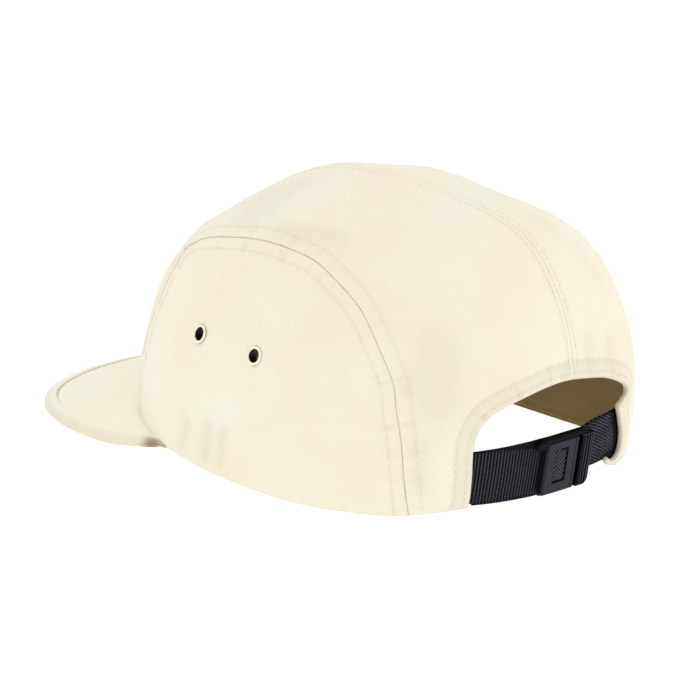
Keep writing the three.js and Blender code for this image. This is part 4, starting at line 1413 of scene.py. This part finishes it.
def lever_tone_and_light(x, y):
    """Painted shade, black, along the grip's top, right and bottom and in the part line; painted
    highlights on the crests of its hatching, with painted shade between them.
    """
    depth = grip_depth(x, y)
    right = smooth((x - LEVER_RIGHT + GRIP_RIGHT + 1.0) / 0.3)
    top = smooth((y - LEVER_TOP + GRIP_ABOVE + 1.2) / 0.3) * smooth((x + 6) / 3)
    bottom = smooth((LEVER_BOTTOM + GRIP_BELOW + 1.0 - y) / 0.3)
    outline = np.maximum.reduce([right, top, bottom])
    field = 0.72 - 0.72 * hatch(x, y) ** 2
    tone_and_light = PLAIN_TONE + (np.maximum(field, outline) - PLAIN_TONE) * smooth(depth / 0.2)
    return np.maximum(tone_and_light, bell(x - LEVER_RIGHT + PART_LINE, 0.22))


def build_buckle_lever(material):
    left, right = constant(LEVER_LEFT), constant(LEVER_RIGHT)
    foot = 0.1 - BUCKLE_HEIGHT / 2
    points, faces, tones_and_light = plate(
        left, right, foot, LEVER_TOP, lever_face, lever_tone_and_light, (150, 184), 0.45
    )
    return mesh_piece("buckle_lever_moulding", points, faces, [material], shade=tones_and_light)


# Eyelets

def eyelet_profile():
    bore, barrel, flange = EYELET_BORE / 2, EYELET_BARREL / 2, EYELET_FLANGE / 2
    crest = [(bore, -CLOTH - BARREL_END), (bore, GAP * 0.2)]
    for angle in np.linspace(180, 0, 12):
        share = math.radians(angle)
        middle, half = (bore + flange) / 2, (flange - bore) / 2
        crest.append((middle + half * math.cos(share), GAP * 0.3 + EYELET_PROUD * math.sin(share)))
    return crest + [(barrel, 0.0), (barrel, -CLOTH - BARREL_END)]


def build_eyelet(name, place, material):
    _, point, across, up, out = place
    profile = eyelet_profile()
    sides = 56
    points, faces = [], []
    for k in range(sides):
        angle = 2 * np.pi * k / sides
        reach = np.cos(angle) * across + np.sin(angle) * up
        points += [point + reach * r + out * z for r, z in profile]
    rings = len(profile)
    for k in range(sides):
        a, b = k * rings, (k + 1) % sides * rings
        for i in range(rings):
            j = (i + 1) % rings
            faces.append((a + i, a + j, b + j, b + i))
    # Painted shade: black down the bore and on the barrel, and a grey line at the flange's outer edge
    shade = [1.0, 1.0] + [0.0] * (rings - 5) + [0.35, 1.0, 1.0]
    return mesh_piece(name + "_ring", points, faces, [material], shade=shade * sides)


# Materials

def material_with(name):
    material = bpy.data.materials.new(name)
    material.use_nodes = True
    nodes = material.node_tree.nodes
    shader = next(n for n in nodes if n.type == "BSDF_PRINCIPLED")
    return material, nodes, material.node_tree.links, shader


def kept_shade(nodes):
    """The painted shade, painted highlights and tone that are kept with the mesh."""
    node = nodes.new("ShaderNodeAttribute")
    node.attribute_name = "painted_light_and_tone"
    return node.outputs["Fac"]


def cloth_places(nodes, links):
    """Places on the flat cloth, whole and as their two axes."""
    coordinates = nodes.new("ShaderNodeUVMap")
    coordinates.uv_map = "cloth"
    split = nodes.new("ShaderNodeSeparateXYZ")
    links.new(coordinates.outputs[0], split.inputs[0])
    return coordinates.outputs[0], split.outputs[:2]


def coat(links, shader, color, roughness, specular):
    links.new(color, shader.inputs["Base Color"])
    shader.inputs["Roughness"].default_value = roughness
    shader.inputs["Specular IOR Level"].default_value = specular


def maths(nodes, links, operation, first, second=None):
    node = nodes.new("ShaderNodeMath")
    node.operation = operation
    for socket, value in zip(node.inputs, (first, second)):
        if value is None:
            continue
        if isinstance(value, (int, float)):
            socket.default_value = value
        else:
            links.new(value, socket)
    return node.outputs[0]


def noise(nodes, links, vector, scale, detail=3.0, roughness=0.55):
    node = nodes.new("ShaderNodeTexNoise")
    node.inputs["Scale"].default_value = scale
    node.inputs["Detail"].default_value = detail
    node.inputs["Roughness"].default_value = roughness
    links.new(vector, node.inputs["Vector"])
    return node.outputs[0]


def ramp(nodes, links, factor, stops):
    node = nodes.new("ShaderNodeValToRGB")
    first, last = node.color_ramp.elements
    first.position, first.color = stops[0]
    last.position, last.color = stops[-1]
    for position, color in stops[1:-1]:
        node.color_ramp.elements.new(position).color = color
    links.new(factor, node.inputs[0])
    return node.outputs[0]


def mixed(nodes, links, factor, first, second):
    node = nodes.new("ShaderNodeMix")
    node.data_type = "RGBA"
    sockets = [s for s in node.inputs if s.type == "RGBA"]
    for socket, value in [(node.inputs[0], factor)] + list(zip(sockets, (first, second))):
        if isinstance(value, (int, float, tuple)):
            socket.default_value = value
        else:
            links.new(value, socket)
    return next(s for s in node.outputs if s.type == "RGBA")


def srgb(red, green, blue):
    """A colour given as it looks on screen, 0 to 255, in the renderer's linear values."""
    values = []
    for value in (red, green, blue):
        share = value / 255
        values.append(share / 12.92 if share <= 0.04045 else ((share + 0.055) / 1.055) ** 2.4)
    return (*values, 1.0)


# The colour that painted shade in the cloth's seams, grooves, folds and needle holes darkens towards,
# also in the band along the arch's hem
PAINTED_SHADE_COLOR = srgb(150, 132, 104)


def bump(nodes, links, shader, height, strength, distance):
    node = nodes.new("ShaderNodeBump")
    node.inputs["Strength"].default_value = strength
    node.inputs["Distance"].default_value = distance
    links.new(height, node.inputs["Height"])
    links.new(node.outputs[0], shader.inputs["Normal"])


def weave(nodes, links, across, along, ribbed=False, wander=0.0):
    """Height of a weave by its pitches in millimetres, plain or in ribs with small knots.

    The yarns wander by an angle in radians.
    """
    flat, axes = cloth_places(nodes, links)
    waves = []
    for socket, pitch in zip(axes, (across, along)):
        angle = maths(nodes, links, "MULTIPLY_ADD", socket, math.pi / (pitch * UV_PER_MM))
        if wander:
            stray = noise(nodes, links, flat, 45.0, 2.0)
            links.new(maths(nodes, links, "MULTIPLY", stray, wander), angle.node.inputs[2])
        else:
            angle.node.inputs[2].default_value = 0.0
        waves.append(maths(nodes, links, "SINE", angle))
    if ribbed:
        ribs = maths(nodes, links, "ABSOLUTE", waves[0])
        knots = maths(nodes, links, "MULTIPLY_ADD", maths(nodes, links, "ABSOLUTE", waves[1]), 0.35)
        knots.node.inputs[2].default_value = 0.65
        return maths(nodes, links, "MULTIPLY", ribs, knots), flat
    return maths(nodes, links, "MULTIPLY", *waves), flat


def cloth_material(name, base, warm, cool, pitch, weave_strength):
    """Plain woven cotton: soft uneven colour, slubs and a fine weave."""
    material, nodes, links, shader = material_with(name)
    place = nodes.new("ShaderNodeTexCoord").outputs["Object"]
    patches = noise(nodes, links, place, 26.0, 3.0)
    color = ramp(nodes, links, patches, [(0.36, warm), (0.52, base), (0.66, cool)])
    height, flat = weave(nodes, links, pitch, pitch)
    speckle = noise(nodes, links, flat, 150.0, 2.0)
    dark = tuple(v * 0.82 for v in base[:3]) + (1.0,)
    color = mixed(nodes, links, maths(nodes, links, "MULTIPLY", speckle, 0.6), color, dark)
    # Painted shade kept with the mesh darkens the colour in seams, grooves, folds and along the hems
    coat(links, shader, mixed(nodes, links, kept_shade(nodes), color, PAINTED_SHADE_COLOR), 0.92, 0.18)
    shader.inputs["Sheen Weight"].default_value = 0.25
    shader.inputs["Sheen Roughness"].default_value = 0.5
    uneven = maths(nodes, links, "MULTIPLY", noise(nodes, links, place, 420.0, 4.0), 0.8)
    bump(nodes, links, shader, maths(nodes, links, "ADD", height, uneven), weave_strength, 0.00012)
    return material


def thread_material():
    """Thread as pale as the cloth, with painted shade where it enters the needle holes, more at some
    than at others.
    """
    material, nodes, links, shader = material_with("thread")
    _, (along, hole_paleness) = cloth_places(nodes, links)
    pale = srgb(242, 234, 212)
    stops = [(0.0, PAINTED_SHADE_COLOR), (0.25, pale), (0.75, pale), (1.0, PAINTED_SHADE_COLOR)]
    dark = ramp(nodes, links, along, stops)
    coat(links, shader, mixed(nodes, links, hole_paleness, dark, pale), 0.75, 0.2)
    twist = maths(nodes, links, "SINE", maths(nodes, links, "MULTIPLY", along, 40.0))
    bump(nodes, links, shader, twist, 0.3, 0.0001)
    return material


# Brown for the inside faces and the sweatband: painted shade, standing for the cream cloth in the
# cap's shadow
def inside_shade_material():
    material, nodes, links, shader = material_with("lining")
    place = nodes.new("ShaderNodeTexCoord").outputs["Object"]
    patches = noise(nodes, links, place, 40.0, 3.0)
    stops = [(0.35, srgb(144, 123, 82)), (0.65, srgb(132, 114, 74))]
    coat(links, shader, ramp(nodes, links, patches, stops), 0.95, 0.1)
    height, _ = weave(nodes, links, 0.5, 0.5)
    bump(nodes, links, shader, height, 0.3, 0.0001)
    return material


def webbing_material(name, dark, light, pitches, stops, in_ribs, wander=0.0):
    """Webbing whose yarns catch the light on their crests; pitches in millimetres."""
    material, nodes, links, shader = material_with(name)
    height, flat = weave(nodes, links, *pitches, in_ribs, wander)
    fibres = noise(nodes, links, flat, 90.0, 3.0, 0.7)
    crest = maths(nodes, links, "MULTIPLY", height, maths(nodes, links, "ADD", fibres, 0.45))
    color = ramp(nodes, links, crest, [(stops[0], dark), (stops[1], light)])
    # Darker at the selvedges, and painted shadow where the right tab's edge lies over the webbing
    color = mixed(nodes, links, kept_shade(nodes), color, srgb(9, 8, 13))
    coat(links, shader, color, 0.8, 0.08)
    bump(nodes, links, shader, fibres, 0.4, 0.0001)
    return material


def plastic_material(name, stops, roughness):
    """Matt moulded plastic whose colour follows the tone and painted light kept with the mesh."""
    material, nodes, links, shader = material_with(name)
    place = nodes.new("ShaderNodeTexCoord").outputs["Object"]
    patches = noise(nodes, links, place, 160.0, 2.0)
    uneven = maths(nodes, links, "MULTIPLY_ADD", patches, 0.12)
    links.new(kept_shade(nodes), uneven.node.inputs[2])
    coat(links, shader, ramp(nodes, links, uneven, stops), roughness, 0.07)
    bump(nodes, links, shader, noise(nodes, links, place, 900.0, 3.0), 0.12, 0.00006)
    return material


def enamel_material():
    material, nodes, links, shader = material_with("eyelet enamel")
    place = nodes.new("ShaderNodeTexCoord").outputs["Object"]
    patches = noise(nodes, links, place, 300.0, 2.0)
    stops = [(0.3, srgb(236, 227, 202)), (0.7, srgb(246, 240, 222))]
    pale = ramp(nodes, links, patches, stops)
    # Painted shade kept with the mesh blackens the bore and greys the flange's edge
    coat(links, shader, mixed(nodes, links, kept_shade(nodes), pale, srgb(6, 4, 4)), 0.5, 0.15)
    bump(nodes, links, shader, patches, 0.1, 0.00005)
    return material


def floor_material():
    material, nodes, links, shader = material_with("studio floor")
    place = nodes.new("ShaderNodeTexCoord").outputs["Object"]
    patches = noise(nodes, links, place, 2.0, 2.0)
    stops = [(0.3, (0.3, 0.3, 0.3, 1.0)), (0.7, (0.31, 0.31, 0.31, 1.0))]
    coat(links, shader, ramp(nodes, links, patches, stops), 1.0, 0.0)
    shader.inputs["Emission Color"].default_value = (1.0, 1.0, 1.0, 1.0)
    shader.inputs["Emission Strength"].default_value = 0.97
    return material


# Building the cap

canvas = cloth_material(
    "canvas", srgb(244, 238, 216), srgb(245, 232, 212), srgb(242, 240, 221), 0.5, 0.45
)
peak_canvas = cloth_material(
    "peak canvas", srgb(248, 243, 221), srgb(249, 238, 218), srgb(246, 244, 225), 0.5, 0.45
)
lining = inside_shade_material()
thread = thread_material()
rib_webbing = webbing_material(
    "ribbed webbing", srgb(5, 4, 8), srgb(70, 66, 77), (RIB_PITCH, 0.95), (0.44, 0.95), True
)
mesh_webbing = webbing_material(
    "mesh webbing", srgb(9, 9, 13), srgb(92, 91, 104), (1.3, 0.62), (0.05, 0.8), False, 3.0
)
frame_plastic = plastic_material(
    "buckle frame plastic", [(0.1, srgb(88, 90, 106)), (0.8, srgb(6, 6, 9))], 0.6
)
lever_stops = [
    (0.05, srgb(104, 101, 110)),
    (0.35, srgb(54, 51, 60)),
    (0.45, srgb(50, 47, 56)),
    (0.95, srgb(7, 7, 11)),
]
lever_plastic = plastic_material("buckle lever plastic", lever_stops, 0.6)
enamel = enamel_material()

for panel in PANELS:
    finish_piece(build_panel(panel, [canvas, lining]), "canvas", panel)
    lines = [(*skin(row, panel), pale) for row, pale in STITCH_ROWS[panel] if len(row) > 3]
    finish_piece(stitches_on(lines, panel + "_stitches", thread), "canvas")

finish_piece(build_peak(peak_canvas), "peak_canvas", "peak")
finish_piece(stitches_on([(*peak_row(), 0.3)], "peak_stitches", thread), "peak_canvas")
finish_piece(build_sweatband(lining), "lining", "sweatband")

buckle_right = BUCKLE_OFFSET - BUCKLE_WIDTH / 2
split = buckle_right + BUCKLE_BAR
strap = webbing("strap_left_webbing", STRAP_END, split, STRAP_LEFT, ribbed, rib_webbing)
finish_piece(strap, "webbing", "strap_left")
strap = webbing(
    "strap_right_webbing", split - STRAP_PARTING, -STRAP_END, STRAP_RIGHT, meshed, mesh_webbing
)
finish_piece(strap, "webbing", "strap_right")
frame_piece = build_buckle_frame([frame_plastic, lever_plastic])
finish_piece(frame_piece, "buckle_plastic", "buckle_frame")
finish_piece(build_buckle_lever(lever_plastic), "buckle_plastic", "buckle_lever")

for side in ("left", "right"):
    for name, place in eyelet_frames(side).items():
        finish_piece(build_eyelet(name, place, enamel), "eyelet_enamel", name)


# Floor, light and camera

def add_floor():
    size = 6.0
    mesh = bpy.data.meshes.new("floor")
    corners = [(-size, -size, 0), (size, -size, 0), (size, size, 0), (-size, size, 0)]
    mesh.from_pydata(corners, [], [(0, 1, 2, 3)])
    mesh.materials.append(floor_material())
    floor = add_object("floor", mesh)


def add_light(name, location, target, size, power):
    light = bpy.data.lights.new(name, "AREA")
    light.shape = "DISK"
    light.size = size
    light.energy = power
    lamp = add_object(name, light)
    lamp.location = location
    direction = Vector(target) - Vector(location)
    lamp.rotation_euler = direction.to_track_quat("-Z", "Y").to_euler()


def light_studio():
    world = bpy.data.worlds.new("studio")
    bpy.context.scene.world = world
    world.use_nodes = True
    background = world.node_tree.nodes["Background"]
    background.inputs["Color"].default_value = (1.0, 1.0, 1.0, 1.0)
    background.inputs["Strength"].default_value = 0.93
    add_light("key", (0.3, 0.1, 1.8), (0, 0, 0.05), 0.6, 4.0)
    add_light("fill", (-0.9, 1.1, 0.5), (0, 0, 0.05), 0.8, 1.4)
    bpy.context.scene.view_settings.view_transform = "Standard"


def add_camera():
    azimuth, elevation = math.radians(CAMERA_AZIMUTH), math.radians(CAMERA_ELEVATION)
    back = np.array([
        math.sin(azimuth) * math.cos(elevation),
        -math.cos(azimuth) * math.cos(elevation),
        math.sin(elevation),
    ])
    right = np.array([math.cos(azimuth), math.sin(azimuth), 0.0])
    up = np.cross(back, right)
    scale = CAMERA_DISTANCE / CAMERA_FOCAL_PIXELS
    across = (AIM_PIXEL[0] - PHOTO_SIZE / 2) * scale
    down = (AIM_PIXEL[1] - PHOTO_SIZE / 2) * scale
    place = AIM + SHIFT - right * across + up * down + back * CAMERA_DISTANCE
    data = bpy.data.cameras.new("camera")
    data.sensor_width = SENSOR_WIDTH
    data.lens = CAMERA_FOCAL_PIXELS / PHOTO_SIZE * SENSOR_WIDTH
    data.clip_end = 100.0
    camera = add_object("camera", data)
    axes = Matrix((right, up, back)).transposed().to_4x4()
    camera.matrix_world = Matrix.Translation(Vector(place * MM)) @ axes
    bpy.context.scene.camera = camera


add_floor()
light_studio()
add_camera()
